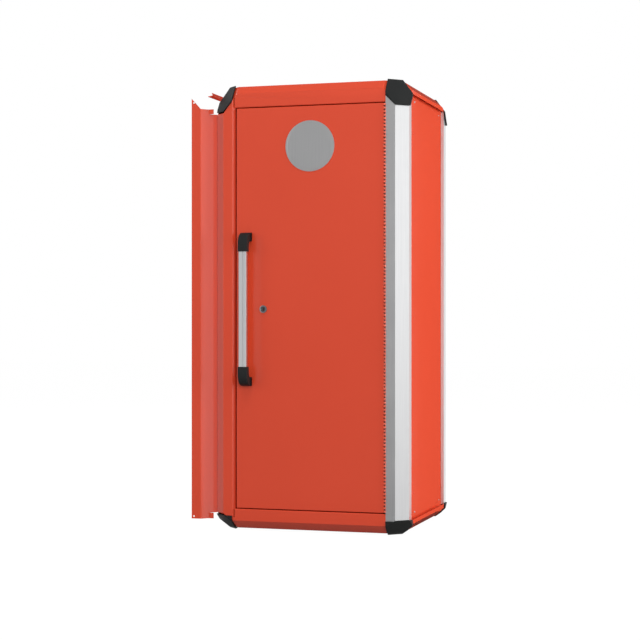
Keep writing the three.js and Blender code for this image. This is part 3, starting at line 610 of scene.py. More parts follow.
def soften(node: str, softening: Softening, material: bpy.types.Material | None = None) -> bpy.types.Object:
    """Replaces a CAD node by a copy with rounded edges.

    Args:
        node: Name of the CAD node.
        softening: How its edges are rounded.
        material: Its material, if not the one of its slot.

    Returns:
        The new piece.
    """
    bm = cad_copy(node)
    softening.apply(bm)
    name = f"{node}_finished"
    piece = even_normals(link_piece(name, to_mesh(name, bm)))
    slot = slot_of_node(node)
    assign(piece, material or SLOT_MATERIALS[slot])
    return enrol(piece, body_of_node(node), [node])


# Geometry Nodes for what repeats


class RepeatTree:
    """A Geometry Nodes tree with named inputs that ends in realised, dressed instances."""

    def __init__(self, name: str, inputs: dict[str, str]) -> None:
        """Makes the tree with its sockets.

        Args:
            name: Name of the tree.
            inputs: Input names with their socket types.
        """
        self.tree = bpy.data.node_groups.new(name, "GeometryNodeTree")
        self.tree.interface.new_socket("Geometry", in_out="INPUT", socket_type="NodeSocketGeometry")
        self.sockets = {
            label: self.tree.interface.new_socket(label, in_out="INPUT", socket_type=kind).identifier
            for label, kind in inputs.items()
        }
        self.tree.interface.new_socket("Geometry", in_out="OUTPUT", socket_type="NodeSocketGeometry")
        self.sheet = Sheet(self.tree)
        self.entry = self.sheet.add("NodeGroupInput")

    def template(self) -> bpy.types.NodeSocket:
        """The geometry of the object given as Template."""
        info = self.sheet.add("GeometryNodeObjectInfo", transform_space="ORIGINAL")
        self.sheet.link(self.entry.outputs["Template"], info.inputs["Object"])
        return info.outputs["Geometry"]

    def close(self, geometry: bpy.types.NodeSocket) -> None:
        """Ends the tree in Realize Instances and Set Material."""
        real = self.sheet.add("GeometryNodeRealizeInstances")
        paint = self.sheet.add("GeometryNodeSetMaterial")
        leave = self.sheet.add("NodeGroupOutput")
        self.sheet.link(geometry, real.inputs["Geometry"])
        self.sheet.link(real.outputs["Geometry"], paint.inputs["Geometry"])
        self.sheet.link(self.entry.outputs["Material"], paint.inputs["Material"])
        self.sheet.link(paint.outputs["Geometry"], leave.inputs["Geometry"])

    def run(self, carrier: bpy.types.Object, **values: object) -> bpy.types.Object:
        """Runs the tree on a carrier and turns the result into a plain mesh.

        Args:
            carrier: The object that holds the base geometry.
            values: The tree's inputs by name.

        Returns:
            The carrier with its final mesh.
        """
        modifier = carrier.modifiers.new(self.tree.name, "NODES")
        modifier.node_group = self.tree
        for label, value in values.items():
            modifier[self.sockets[label]] = value
        return settle(carrier)


def scatter_tree() -> RepeatTree:
    """A tree that puts a template on every point, turned to the point's facing."""
    kinds = {
        "Template": "NodeSocketObject",
        "Size": "NodeSocketFloat",
        "Seed": "NodeSocketInt",
        "Material": "NodeSocketMaterial",
    }
    made = RepeatTree("fasteners_on_points", kinds)
    sheet, entry = made.sheet, made.entry
    facing = sheet.add("GeometryNodeInputNamedAttribute", data_type="FLOAT_VECTOR")
    facing.inputs["Name"].default_value = "facing"
    align = sheet.add("FunctionNodeAlignRotationToVector", axis="Z")
    sheet.link(facing.outputs["Attribute"], align.inputs["Vector"])
    chance = sheet.add("FunctionNodeRandomValue", data_type="FLOAT")
    chance.inputs["Min"].default_value = 0.0
    chance.inputs["Max"].default_value = 2 * math.pi
    sheet.link(entry.outputs["Seed"], chance.inputs["Seed"])
    spin = sheet.add("FunctionNodeAxisAngleToRotation")
    spin.inputs["Axis"].default_value = (0.0, 0.0, 1.0)
    sheet.link(chance.outputs["Value"], spin.inputs["Angle"])
    turn = sheet.add("FunctionNodeRotateRotation", rotation_space="LOCAL")
    sheet.link(align.outputs["Rotation"], turn.inputs["Rotation"])
    sheet.link(spin.outputs["Rotation"], turn.inputs["Rotate By"])
    place = sheet.add("GeometryNodeInstanceOnPoints")
    sheet.link(entry.outputs["Geometry"], place.inputs["Points"])
    sheet.link(made.template(), place.inputs["Instance"])
    sheet.link(turn.outputs["Rotation"], place.inputs["Rotation"])
    sheet.link(entry.outputs["Size"], place.inputs["Scale"])
    made.close(place.outputs["Instances"])
    return made


def row_tree() -> RepeatTree:
    """A tree that repeats a template up a line and joins it to the carrier's own mesh."""
    kinds = {
        "Template": "NodeSocketObject",
        "Count": "NodeSocketInt",
        "Pitch": "NodeSocketFloat",
        "Start": "NodeSocketVector",
        "Material": "NodeSocketMaterial",
    }
    made = RepeatTree("knuckles_up_a_line", kinds)
    sheet, entry = made.sheet, made.entry
    step = sheet.add("ShaderNodeCombineXYZ")
    sheet.link(entry.outputs["Pitch"], step.inputs["Z"])
    line = sheet.add("GeometryNodeMeshLine", mode="OFFSET")
    sheet.link(entry.outputs["Count"], line.inputs["Count"])
    sheet.link(entry.outputs["Start"], line.inputs["Start Location"])
    sheet.link(step.outputs["Vector"], line.inputs["Offset"])
    place = sheet.add("GeometryNodeInstanceOnPoints")
    sheet.link(line.outputs["Mesh"], place.inputs["Points"])
    sheet.link(made.template(), place.inputs["Instance"])
    both = sheet.add("GeometryNodeJoinGeometry")
    sheet.link(entry.outputs["Geometry"], both.inputs["Geometry"])
    sheet.link(place.outputs["Instances"], both.inputs["Geometry"])
    made.close(both.outputs["Geometry"])
    return made


class Head(Enum):
    """Kinds of fastener heads."""

    RIVET = "rivet"
    SCREW = "screw"
    FLUSH = "flush"


@dataclass
class Fasteners:
    """Screws and rivets, each head a unit template that the tree scales."""

    sides: int = 24
    tree: RepeatTree = field(default_factory=scatter_tree)

    def lathe(self, name: str, rings: Sequence[tuple[Callable[[int], float], float]]) -> bpy.types.Object:
        """Builds a unit head from rings of changing radius, with its underside at zero.

        Args:
            name: Name of the template.
            rings: For each ring its radius by side number and its height.

        Returns:
            The template object.
        """
        bm = bmesh.new()
        loops = []
        for radius, height in rings:
            loop = []
            for i in range(self.sides):
                angle = 2 * math.pi * i / self.sides
                r = radius(i)
                loop.append(bm.verts.new((r * math.cos(angle), r * math.sin(angle), height)))
            loops.append(loop)
        for low, high in zip(loops, loops[1:]):
            for i in range(self.sides):
                j = (i + 1) % self.sides
                bm.faces.new((low[i], low[j], high[j], high[i]))
        bm.faces.new(loops[-1])
        bm.faces.new(list(reversed(loops[0])))
        return link_piece(name, to_mesh(name, bm))

    def head(self, kind: Head) -> bpy.types.Object:
        """Builds the template of a head.

        Args:
            kind: Which head.

        Returns:
            The template object.
        """
        def even(radius: float) -> Callable[[int], float]:
            return lambda i: radius

        def cross(outer: float, inner: float) -> Callable[[int], float]:
            quarter = self.sides // 4
            return lambda i: outer if (i + 1) % quarter < 3 else inner

        rings = {
            Head.RIVET: [(even(1.0), 0.0), (even(1.0), 0.12), (even(0.86), 0.36), (even(0.55), 0.54),
                         (even(0.2), 0.61)],
            Head.SCREW: [(even(1.0), 0.0), (even(1.0), 0.22), (even(0.9), 0.46), (even(0.68), 0.60),
                         (cross(0.52, 0.17), 0.63), (cross(0.44, 0.14), 0.2)],
            Head.FLUSH: [(even(1.0), 0.0), (even(0.97), 0.05), (even(0.6), 0.06), (cross(0.5, 0.16), 0.06),
                         (cross(0.42, 0.12), 0.02)],
        }
        return self.lathe(f"{kind.value}_template", rings[kind])

    def place(self, name: str, kind: Head, radius: float, spots: Sequence[tuple[Point, Point]], body: Body,
              slot: Slot) -> bpy.types.Object:
        """Places a set of heads as one piece.

        Args:
            name: Name of the piece.
            kind: Which head.
            radius: Radius of the head.
            spots: For each head its seat and the way it faces.
            body: The body that the piece rides on.
            slot: Its material slot.

        Returns:
            The piece.
        """
        mesh = bpy.data.meshes.new(name)
        mesh.from_pydata([spot for spot, _ in spots], [], [])
        facing = mesh.attributes.new("facing", "FLOAT_VECTOR", "POINT")
        for datum, (_, way) in zip(facing.data, spots):
            datum.vector = way
        template = self.head(kind)
        piece = link_piece(name, mesh)
        material = SLOT_MATERIALS[slot]
        self.tree.run(piece, Template=template, Size=radius, Seed=7, Material=material)
        bpy.data.objects.remove(template)
        return enrol(piece, body)


# Sub-assemblies


@dataclass
class Cabinet:
    """Pans, walls, floor and the fasteners that hold them."""

    panels: tuple[str, ...] = ("top_panel", "bottom_panel", "left_side_panel", "right_side_panel",
                               "back_panel", "hinge_post", "floor_panel")
    side_front: float = -112.0 * MM
    side_rear: float = 175.5 * MM
    side_heights: tuple[float, ...] = (96.0 * MM, 532.5 * MM, 987.0 * MM)
    corner_front: float = -100.0 * MM
    corner_low: float = 47.0 * MM
    corner_high: float = 1068.0 * MM
    rivet: float = 2.6 * MM
    back_inset: float = 16.0 * MM
    back_count: int = 7

    def build(self, fasteners: Fasteners) -> None:
        """Builds the sheet pieces and their rivets."""
        for node in self.panels:
            soften(node, SHEET_METAL)
        self.side_rivets(fasteners)
        self.back_rivets(fasteners)

    def side_rivets(self, fasteners: Fasteners) -> None:
        """Rivets on the recessed right side."""
        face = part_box("right_side_panel")[1].x
        out = (1.0, 0.0, 0.0)
        spots = [((face, self.side_front, z), out) for z in self.side_heights]
        fasteners.place("right_side_rivets", Head.RIVET, self.rivet, spots, Body.CABINET, Slot.PAINT)
        spots = [((face, y, z), out) for y in (self.corner_front, self.side_rear)
                 for z in (self.corner_low, self.corner_high)]
        fasteners.place("right_corner_rivets", Head.RIVET, self.rivet, spots, Body.CABINET, Slot.STEEL)

    def back_rivets(self, fasteners: Fasteners) -> None:
        """Rivets round the back sheet."""
        low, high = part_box("back_panel")
        left, right = low.x + 2 * self.back_inset, high.x - 2 * self.back_inset
        bottom, top = low.z + self.back_inset, high.z - self.back_inset
        out = (0.0, 1.0, 0.0)
        spots = []
        for i in range(self.back_count):
            share = i / (self.back_count - 1)
            x = left + share * (right - left)
            z = bottom + share * (top - bottom)
            spots += [((x, high.y, bottom), out), ((x, high.y, top), out)]
            if 0 < i < self.back_count - 1:
                spots += [((left, high.y, z), out), ((right, high.y, z), out)]
        fasteners.place("back_rivets", Head.RIVET, self.rivet, spots, Body.CABINET, Slot.PAINT)


@dataclass
class Corners:
    """Extruded trims, caps and feet."""

    trims: tuple[str, ...] = ("front_right_trim", "rear_right_trim")
    places: tuple[str, ...] = ("front_right", "rear_right", "front_left", "rear_left")

    def build(self) -> None:
        """Builds the trims and mouldings."""
        for node in self.trims:
            soften(node, EXTRUSION)
        for place in self.places:
            soften(f"top_{place}_cap", MOULDING)
            soften(f"bottom_{place}_foot", MOULDING)


@dataclass
class Joiner:
    """The wing and the rail that join the locker to the chest."""

    screw: float = 4.2 * MM
    wing_count: int = 5
    wing_inset: float = 70.0 * MM
    wing_back: float = 20.0 * MM
    rail_count: int = 4
    rail_front: float = 87.0 * MM
    rail_rear: float = 25.0 * MM
    rail_rise: float = 13.0 * MM

    def build(self, fasteners: Fasteners) -> None:
        """Builds the wing and the rail with their screws."""
        for node in ("mounting_wing", "top_mounting_rail"):
            soften(node, SHEET_METAL)
        out = (-1.0, 0.0, 0.0)
        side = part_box("left_side_panel")[0].x - 1.8 * MM
        low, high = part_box("mounting_wing")
        start, end = low.z + self.wing_inset, high.z - 2 * self.wing_inset
        spots = []
        for i in range(self.wing_count):
            z = start + (end - start) * i / (self.wing_count - 1)
            spots.append(((side, high.y - self.wing_back, z), out))
        low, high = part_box("top_mounting_rail")
        for i in range(self.rail_count):
            share = i / (self.rail_count - 1)
            y = low.y + self.rail_front + share * (high.y - low.y - self.rail_front - self.rail_rear)
            spots.append(((side, y, low.z + self.rail_rise), out))
        fasteners.place("joiner_screws", Head.SCREW, self.screw, spots, Body.CABINET, Slot.STEEL)


@dataclass
class Door:
    """The door's two pans and a blank round badge on its front."""

    badge_centre: tuple[float, float] = (31.85 * MM, 954.0 * MM)
    badge_radius: float = 63.0 * MM
    badge_rim: float = 5.0 * MM
    badge_thick: float = 1.6 * MM
    badge_floor: float = 0.9 * MM
    badge_sides: int = 96
    seat: float = 0.05 * MM

    def build(self) -> None:
        """Builds the pans and the badge."""
        soften("door_skin", DOOR_METAL)
        soften("door_inner_panel", DOOR_METAL)
        self.badge()

    def badge(self) -> None:
        """A plain disc with a raised rim."""
        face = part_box("door_skin")[0].y - self.seat
        radius, rim = self.badge_radius, self.badge_rim
        front, floor = -self.badge_thick, -self.badge_floor
        ease = 0.4 * MM
        profile = [
            (0.0, floor), (radius - rim - ease, floor), (radius - rim + ease, front + ease / 2),
            (radius - rim + 2 * ease, front), (radius - 2 * ease, front), (radius - ease / 2, front + ease / 2),
            (radius, front + 2 * ease), (radius, 0.0), (0.0, 0.0),
        ]
        x, z = self.badge_centre
        piece = turned("blank_door_badge", profile, Axis.Y, (x, face, z), self.badge_sides)
        even_normals(piece)
        assign(piece, ALUMINIUM)
        enrol(piece, Body.DOOR)


@dataclass
class ContinuousHinge:
    """Two leaves with interleaved knuckles on one long pin."""

    knuckle: float = 8.5 * MM
    gap: float = 4.0 * MM
    barrel: float = 2.75 * MM
    bore: float = 1.5 * MM
    leaf: float = 1.2 * MM
    leaf_inner: float = 0.7 * MM
    ease: float = 0.35 * MM
    sides: int = 18
    rivet: float = 3.2 * MM
    rivet_pitch: float = 100.0 * MM
    rivet_depth: float = 15.0 * MM
    tree: RepeatTree = field(default_factory=row_tree)

    def build(self, fasteners: Fasteners) -> None:
        """Builds both leaves and the pin."""
        self.half("hinge_frame_leaf", 1.0, 0, Body.CABINET, fasteners)
        self.half("hinge_door_leaf", -1.0, 1, Body.DOOR, fasteners)
        # The pin wears the near-black colour that paints the shade in the knuckle gaps.
        soften("hinge_pin", SMALL_METAL, PIN_DARKENED_AS_GAP_SHADE)

    def template(self, side: float, length: float) -> bpy.types.Object:
        """One knuckle: a rolled tube and the web to its leaf.

        Args:
            side: +1 for the frame leaf, -1 for the door leaf.
            length: Length of the knuckle.

        Returns:
            The template object, centred on the pin's line with its foot at zero.
        """
        r, b, e = self.barrel, self.bore, self.ease
        profile = [(b, 0.0), (r - e, 0.0), (r, e), (r, length - e), (r - e, length), (b, length)]
        piece = turned("knuckle_template", profile, Axis.Z, (0.0, 0.0, 0.0), self.sides)
        bm = bmesh.new()
        bm.from_mesh(piece.data)
        inner, outer = sorted((side * self.leaf_inner, side * (self.leaf_inner + self.leaf)))
        block(bm, (inner, 0.6 * r, 0.0), (outer, r + 2 * MM, length))
        old = piece.data
        piece.data = to_mesh("knuckle_template", bm)
        bpy.data.meshes.remove(old)
        return piece

    def half(self, node: str, side: float, first: int, body: Body, fasteners: Fasteners) -> None:
        """Builds one leaf with every second knuckle and its rivets.

        Args:
            node: The CAD leaf that it stands for.
            side: +1 for the frame leaf, -1 for the door leaf.
            first: 0 or 1, the first knuckle that belongs to this leaf.
            body: The body that the leaf rides on.
            fasteners: The maker of the rivets.
        """
        pin_low, pin_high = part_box("hinge_pin")
        x, y = (pin_low.x + pin_high.x) / 2, (pin_low.y + pin_high.y) / 2
        low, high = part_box(node)
        count = int((high.z - low.z) / self.knuckle)
        pitch = (high.z - low.z) / count
        inner, outer = sorted((side * self.leaf_inner, side * (self.leaf_inner + self.leaf)))
        bm = bmesh.new()
        block(bm, (x + inner, y + self.barrel + 0.3 * MM, low.z), (x + outer, high.y, high.z))
        carrier = link_piece(f"{node}_with_knuckles", to_mesh(node, bm))
        template = self.template(side, pitch - self.gap)
        start = (x, y, low.z + first * pitch + self.gap / 2)
        number = (count - first + 1) // 2
        # The leaf and its knuckles take the lightened orange-red, a painted highlight on the knuckles.
        self.tree.run(carrier, Template=template, Count=number, Pitch=2 * pitch, Start=start,
                      Material=HINGE_PAINT_LIGHTENED_AS_HIGHLIGHT)
        bpy.data.objects.remove(template)
        even_normals(carrier)
        enrol(carrier, body, [node])
        face = x + side * self.leaf_inner
        rows = int((high.z - low.z) / self.rivet_pitch)
        spacing = (high.z - low.z) / rows
        spots = [
            ((face, high.y - self.rivet_depth / 2, low.z + (i + 0.5) * spacing), (-side, 0.0, 0.0))
            for i in range(rows)
        ]
        fasteners.place(f"{node}_rivets", Head.FLUSH, self.rivet, spots, body, Slot.STEEL)


@dataclass
class PullHandle:
    """A grooved bar in two moulded brackets, held by screws from inside the door."""

    screw: float = 4.0 * MM
    screw_spread: float = 7.0 * MM

    def build(self, fasteners: Fasteners) -> None:
        """Builds the bar, the brackets and the screws behind them."""
        soften("handle_bar", BAR)
        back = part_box("door_inner_panel")[1].y
        spots = []
        for node, end in (("handle_lower_bracket", 0), ("handle_upper_bracket", 1)):
            soften(node, BRACKET)
            low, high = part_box(node)
            middle = (low.x + high.x) / 2
            z = low.z + 11 * MM if end == 0 else high.z - 11 * MM
            spots += [((middle + step, back, z), (0.0, 1.0, 0.0)) for step in (-self.screw_spread, self.screw_spread)]
        fasteners.place("handle_screws", Head.SCREW, self.screw, spots, Body.DOOR, Slot.STEEL)


@dataclass
class KeyLock:
    """The lock's turned housing and plug with its keyway, and the pieces behind them."""

    sides: int = 64
    bezel: float = 9.5 * MM
    barrel: float = 8.0 * MM
    bore: float = 6.3 * MM
    plug: float = 5.7 * MM
    tail: float = 4.0 * MM
    ease: float = 0.8 * MM
    dish: float = 0.5 * MM
    key_width: float = 1.6 * MM
    key_height: float = 7.0 * MM
    key_depth: float = 6.0 * MM

    def build(self) -> None:
        """Builds the lock."""
        low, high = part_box("lock_housing")
        x, z = (low.x + high.x) / 2, (low.z + high.z) / 2
        self.housing((x, 0.0, z), low.y, high.y)
        self.cylinder((x, 0.0, z), low.y)
        for node in ("lock_nut", "lock_cam", "lock_cam_screw"):
            soften(node, SMALL_METAL)

    def housing(self, centre: Point, front: float, back: float) -> None:
        """Builds the housing with a rounded bezel."""
        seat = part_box("door_skin")[0].y - 0.3 * MM
        e = self.ease
        profile = [
            (self.bore, front + self.dish), (self.bore + 0.3 * MM, front + self.dish / 3),
            (self.bore + e, front), (self.bezel - e, front), (self.bezel - 0.3 * e, front + 0.3 * e),
            (self.bezel, front + e), (self.bezel, seat), (self.barrel, seat), (self.barrel, back - 0.4 * MM),
            (self.barrel - 0.4 * MM, back), (self.bore, back),
        ]
        piece = even_normals(turned("lock_housing_turned", profile, Axis.Y, centre, self.sides))
        assign(piece, CHROME)
        enrol(piece, Body.DOOR, ["lock_housing"])

    def cylinder(self, centre: Point, front: float) -> None:
        """Builds the plug with its tail and cuts the keyway."""
        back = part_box("lock_plug")[1].y
        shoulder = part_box("lock_cam")[0].y - 0.3 * MM
        face = front + self.dish
        e = 0.4 * MM
        profile = [
            (0.0, face), (self.plug - e, face), (self.plug, face + e), (self.plug, shoulder),
            (self.tail, shoulder), (self.tail, back), (0.0, back),
        ]
        piece = turned("lock_plug_turned", profile, Axis.Y, centre, self.sides)
        cutter_mesh = bmesh.new()
        half, tall = self.key_width / 2, self.key_height / 2
        block(cutter_mesh, (centre[0] - half, face - MM, centre[2] - tall),
              (centre[0] + half, face + self.key_depth, centre[2] + tall))
        cutter = link_piece("keyway_cutter", to_mesh("keyway_cutter", cutter_mesh))
        cut = piece.modifiers.new("keyway", "BOOLEAN")
        cut.object = cutter
        cut.operation = "DIFFERENCE"
        cut.solver = "EXACT"
        settle(piece)
        bpy.data.objects.remove(cutter)
        even_normals(piece)
        assign(piece, DARK_PLUG)
        enrol(piece, Body.LOCK, ["lock_plug"])


@dataclass
class BoltWork:
    """The two lock bolts and their guides on the door's inner panel."""

    rivet: float = 2.2 * MM
    flange: float = 3.4 * MM

    def build(self, fasteners: Fasteners) -> None:
        """Builds the bolts, the guides and the guides' rivets."""
        spots = []
        for name in ("upper", "lower"):
            soften(f"{name}_lock_bolt", SMALL_METAL)
            for end in ("near", "far"):
                node = f"{name}_bolt_{end}_guide"
                soften(node, SMALL_METAL)
                low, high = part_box(node)
                z = (low.z + high.z) / 2
                seat = low.y + 1.5 * MM
                spots += [((low.x + self.flange, seat, z), (0.0, 1.0, 0.0)),
                          ((high.x - self.flange, seat, z), (0.0, 1.0, 0.0))]
        fasteners.place("guide_rivets", Head.RIVET, self.rivet, spots, Body.DOOR, Slot.STEEL)


@dataclass
class Catch:
    """The magnetic catch, its strike and the door's rubber stops."""

    rivet: float = 2.0 * MM
    inset: float = 5.0 * MM

    def build(self, fasteners: Fasteners) -> None:
        """Builds the catch and the stops."""
        soften("magnetic_catch", SMALL_METAL)
        soften("catch_strike", SMALL_METAL)
        for number in (1, 2):
            soften(f"door_bumper_{number}", SMALL_METAL)
        low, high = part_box("catch_strike")
        z = (low.z + high.z) / 2
        spots = [((x, high.y, z), (0.0, 1.0, 0.0)) for x in (low.x + self.inset, high.x - self.inset)]
        fasteners.place("strike_rivets", Head.FLUSH, self.rivet, spots, Body.DOOR, Slot.STEEL)


@dataclass
class ShelfSystem:
    """Slotted standards, clips and shelves."""

    shelves: tuple[int, ...] = (1, 2)

    def build(self) -> None:
        """Builds the standards, the clips and the shelves."""
        for side in ("left", "right"):
            for row in ("front", "rear"):
                soften(f"{side}_{row}_standard", SMALL_METAL)
                for number in self.shelves:
                    soften(f"shelf_{number}_{side}_{row}_clip", SMALL_METAL)
        for number in self.shelves:
            soften(f"shelf_{number}", SHEET_METAL)


# Studio


WARM: Point = (1.0, 0.145, 0.080)
SALMON: Point = (1.0, 0.62, 0.56)


@dataclass
class Studio:
    """Floor, white surroundings, soft lamps, reflection cards and the camera."""

    camera_place: Point = (1.192, -3.952, 0.525)
    camera_turn: float = 16.9
    lens: float = 89.27
    sensor: float = 36.0
    floor_reach: float = 14.0
    floor_bounce: float = 0.30
    floor_glow: float = 0.95
    floor_white: float = 1.03
    sky: float = 0.42

    def build(self) -> None:
        """Builds the whole studio."""
        scene = bpy.context.scene
        scene.view_settings.view_transform = "Standard"
        self.surroundings(scene)
        self.floor()
        self.lamps()
        self.card("front_card", (-0.25, -0.75, 0.7), (-0.25, 0.0, 0.7), 1.2, 1.8, 0.29, 0.45)
        self.card("front_floor_card", (-0.25, -0.445, 0.004), (-0.25, -0.445, 1.0), 1.2, 0.59, 0.28, 0.28)
        self.card("ceiling_card", (0.0, -0.2, 2.6), (0.0, -0.2, 0.0), 5.0, 5.0, 0.20, 0.20)
        self.card("right_card", (2.6, -1.0, 0.6), (0.0, -0.2, 0.6), 2.2, 2.6, 0.76, 1.44)
        self.card("right_floor_card", (1.4, -0.6, 0.004), (1.4, -0.6, 1.0), 2.0, 1.0, 0.70, 0.70)
        self.card("rear_flag", (0.3208, 0.1985, 0.6), (0.3208, -1.0, 0.6), 0.1085, 1.5, 0.8, 0.8, WARM)
        self.card("rear_floor_flag", (0.44, 0.05, 0.003), (0.44, 0.05, 1.0), 0.32, 0.28, 0.8, 0.8, WARM)
        self.card("under_floor_flag", (0.16, 0.17, 0.002), (0.16, 0.17, 1.0), 0.24, 0.66, 0.03, 0.03)
        self.card("top_flag", (0.0, 0.262, 1.31), (0.0, -1.0, 1.31), 0.66, 0.40, 0.05, 0.05)
        self.card("left_flag", (-0.3925, 0.262, 0.56), (-0.3925, -1.0, 0.56), 0.335, 1.1, 0.35, 0.35, WARM)
        self.card("wing_card", (-0.1927, -0.2235, 0.55), (-1.1927, -1.2235, 0.55), 0.0764, 1.1, 1.75, 1.75)
        self.card("facet_card", (-0.237, -0.202, 0.55), (0.763, -1.202, 0.55), 0.0511, 1.1, 0.46, 0.46)
        self.card("wing_root_card", (-0.2204, -0.19, 0.55), (-1.0, -0.19, 0.55), 0.016, 1.1, 1.6, 1.6, SALMON)
        self.card("handle_card", (-0.1386, -0.2725, 0.552), (-0.1386, 1.0, 0.552), 0.05, 0.36, 0.62, 0.62)
        self.card("left_strip", (-2.4, -1.9, 0.5), (-0.2, -0.2, 0.5), 0.25, 1.8, 2.6, 2.6)
        self.card("front_panel", (1.17, -1.70, 0.5), (0.0, -0.2, 0.5), 1.0, 1.8, 2.6, 2.6)
        self.camera(scene)

    def seen(self, sheet: Sheet) -> bpy.types.NodeSocket:
        """1 for rays that should see the plain white background.

        Args:
            sheet: The sheet to add the nodes to.

        Returns:
            The socket with the sum of camera, glossy and transmission rays.
        """
        path = sheet.add("ShaderNodeLightPath")
        total = path.outputs["Is Camera Ray"]
        for label in ("Is Glossy Ray", "Is Transmission Ray"):
            both = sheet.add("ShaderNodeMath", operation="MAXIMUM")
            sheet.link(total, both.inputs[0])
            sheet.link(path.outputs[label], both.inputs[1])
            total = both.outputs["Value"]
        return total

    def surroundings(self, scene: bpy.types.Scene) -> None:
        """White surroundings that also light the object evenly."""
        world = bpy.data.worlds.new("white_studio")
        world.use_nodes = True
        scene.world = world
        sheet = Sheet(world.node_tree)
        light = world.node_tree.nodes["Background"]
        light.inputs["Color"].default_value = (1.0, 1.0, 1.0, 1.0)
        light.inputs["Strength"].default_value = self.sky
        white = sheet.add("ShaderNodeBackground")
        white.inputs["Color"].default_value = (1.0, 1.0, 1.0, 1.0)
        white.inputs["Strength"].default_value = 1.0
        mix = sheet.add("ShaderNodeMixShader")
        sheet.link(self.seen(sheet), mix.inputs["Fac"])
        sheet.link(light.outputs["Background"], mix.inputs[1])
        sheet.link(white.outputs["Background"], mix.inputs[2])
        sheet.link(mix.outputs["Shader"], world.node_tree.nodes["World Output"].inputs["Surface"])

    def floor(self) -> None:
        """A pale floor that shows white and keeps a soft shadow."""
        bm = bmesh.new()
        bmesh.ops.create_grid(bm, x_segments=1, y_segments=1, size=self.floor_reach)
        floor = link_piece("studio_floor", to_mesh("studio_floor", bm))
        material = bpy.data.materials.new("pale_floor")
        material.use_nodes = True
        sheet = Sheet(material.node_tree)
        nodes = material.node_tree.nodes
        nodes.remove(nodes["Principled BSDF"])
        bounce = sheet.add("ShaderNodeBsdfDiffuse")
        bounce.inputs["Color"].default_value = (*(self.floor_bounce,) * 3, 1.0)
        pale = sheet.add("ShaderNodeBsdfDiffuse")
        pale.inputs["Color"].default_value = (0.9, 0.9, 0.9, 1.0)
        white = sheet.add("ShaderNodeEmission")
        white.inputs["Strength"].default_value = self.floor_white
        shown = sheet.add("ShaderNodeMixShader")
        shown.inputs["Fac"].default_value = self.floor_glow
        sheet.link(pale.outputs["BSDF"], shown.inputs[1])
        sheet.link(white.outputs["Emission"], shown.inputs[2])
        mix = sheet.add("ShaderNodeMixShader")
        sheet.link(self.seen(sheet), mix.inputs["Fac"])
        sheet.link(bounce.outputs["BSDF"], mix.inputs[1])
        sheet.link(shown.outputs["Shader"], mix.inputs[2])
        sheet.link(mix.outputs["Shader"], nodes["Material Output"].inputs["Surface"])
        assign(floor, material)

    def lamps(self) -> None:
        """Soft lamps all round, the strongest on the front and the right side."""
        self.lamp("front_softbox", (2.05, -4.0, 1.7), (0.0, -0.2, 0.55), 1.8, 68.0)
        self.lamp("left_softbox", (-3.2, -2.9, 1.6), (-0.1, -0.2, 0.55), 2.0, 25.0)
        self.lamp("right_softbox", (3.4, -0.2, 0.9), (0.25, 0.0, 0.55), 2.2, 74.0)
        self.lamp("top_softbox", (0.2, -1.6, 3.6), (0.0, 0.0, 0.9), 1.6, 30.0)
        self.lamp("rear_softbox", (0.6, 4.0, 2.0), (0.0, 0.2, 0.55), 2.2, 90.0)
        self.lamp("rear_left_softbox", (-3.8, 0.9, 1.8), (-0.2, 0.0, 0.55), 2.2, 90.0)

    def lamp(self, name: str, place: Point, target: Point, size: float, power: float) -> None:
        """Adds one square area lamp.

        Args:
            name: Name of the lamp.
            place: Where it stands.
            target: What it is aimed at.
            size: Its side.
            power: Its power in watts.
        """
        data = bpy.data.lights.new(name, "AREA")
        data.size = size
        data.energy = power
        lamp = bpy.data.objects.new(name, data)
        bpy.context.scene.collection.objects.link(lamp)
        lamp.location = place
        lamp.visible_glossy = False
        lamp.rotation_euler = (Vector(target) - Vector(place)).to_track_quat("-Z", "Y").to_euler()

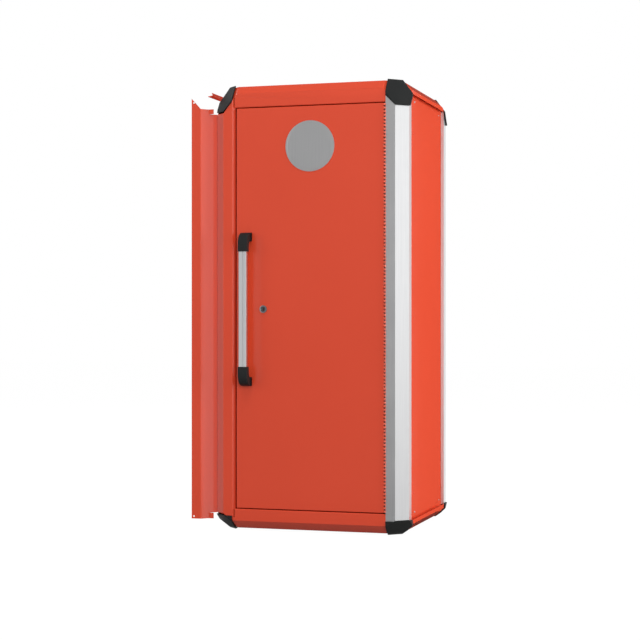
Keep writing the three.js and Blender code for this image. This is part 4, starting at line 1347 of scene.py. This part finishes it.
    def card(self, name: str, place: Point, target: Point, width: float, height: float,
             low: float, high: float, tint: Point = (1.0, 1.0, 1.0)) -> None:
        """Adds a one-sided card that only reflections see, as a photographer's flag.

        Args:
            name: Name of the card.
            place: Its middle.
            target: What it faces.
            width: Its width.
            height: Its height.
            low: Its tone at the foot.
            high: Its tone at the top.
            tint: Its colour.
        """
        turn = (Vector(target) - Vector(place)).to_track_quat("Z", "Y").to_matrix().to_4x4()
        size = Matrix.Diagonal((width / 2, height / 2, 1.0, 1.0))
        bm = bmesh.new()
        bmesh.ops.create_grid(bm, x_segments=1, y_segments=1, size=1.0,
                              matrix=Matrix.Translation(Vector(place)) @ turn @ size)
        card = link_piece(name, to_mesh(name, bm))
        material = bpy.data.materials.new(name)
        material.use_nodes = True
        sheet = Sheet(material.node_tree)
        nodes = material.node_tree.nodes
        nodes.remove(nodes["Principled BSDF"])
        glow = sheet.add("ShaderNodeEmission")
        glow.inputs["Color"].default_value = (*tint, 1.0)
        parts = sheet.add("ShaderNodeSeparateXYZ")
        sheet.link(sheet.add("ShaderNodeTexCoord").outputs["Object"], parts.inputs["Vector"])
        fade = sheet.add("ShaderNodeMapRange")
        fade.inputs["From Min"].default_value = place[2] - height / 2
        fade.inputs["From Max"].default_value = place[2] + height / 2
        fade.inputs["To Min"].default_value = low
        fade.inputs["To Max"].default_value = high
        sheet.link(parts.outputs["Z"], fade.inputs["Value"])
        sheet.link(fade.outputs["Result"], glow.inputs["Strength"])
        side = sheet.add("ShaderNodeMixShader")
        sheet.link(sheet.add("ShaderNodeNewGeometry").outputs["Backfacing"], side.inputs["Fac"])
        sheet.link(glow.outputs["Emission"], side.inputs[1])
        sheet.link(sheet.add("ShaderNodeBsdfTransparent").outputs["BSDF"], side.inputs[2])
        sheet.link(side.outputs["Shader"], nodes["Material Output"].inputs["Surface"])
        assign(card, material)
        card.visible_camera = False
        card.visible_diffuse = False
        card.visible_shadow = False
        card.visible_transmission = False

    def camera(self, scene: bpy.types.Scene) -> None:
        """Puts the camera where the photograph was taken from."""
        data = bpy.data.cameras.new("photo_camera")
        data.lens = self.lens
        data.sensor_width = self.sensor
        camera = bpy.data.objects.new("photo_camera", data)
        scene.collection.objects.link(camera)
        camera.location = self.camera_place
        camera.rotation_euler = (math.radians(90), 0.0, math.radians(self.camera_turn))
        scene.camera = camera


def main() -> None:
    """Builds the locker piece by piece, then the studio round it."""
    logging.basicConfig(level=logging.INFO, format="%(name)s: %(message)s")
    fasteners = Fasteners()
    Cabinet().build(fasteners)
    Corners().build()
    Joiner().build(fasteners)
    Door().build()
    ContinuousHinge().build(fasteners)
    PullHandle().build(fasteners)
    KeyLock().build()
    BoltWork().build(fasteners)
    Catch().build(fasteners)
    ShelfSystem().build()
    Studio().build()


if __name__ == "__main__":
    main()
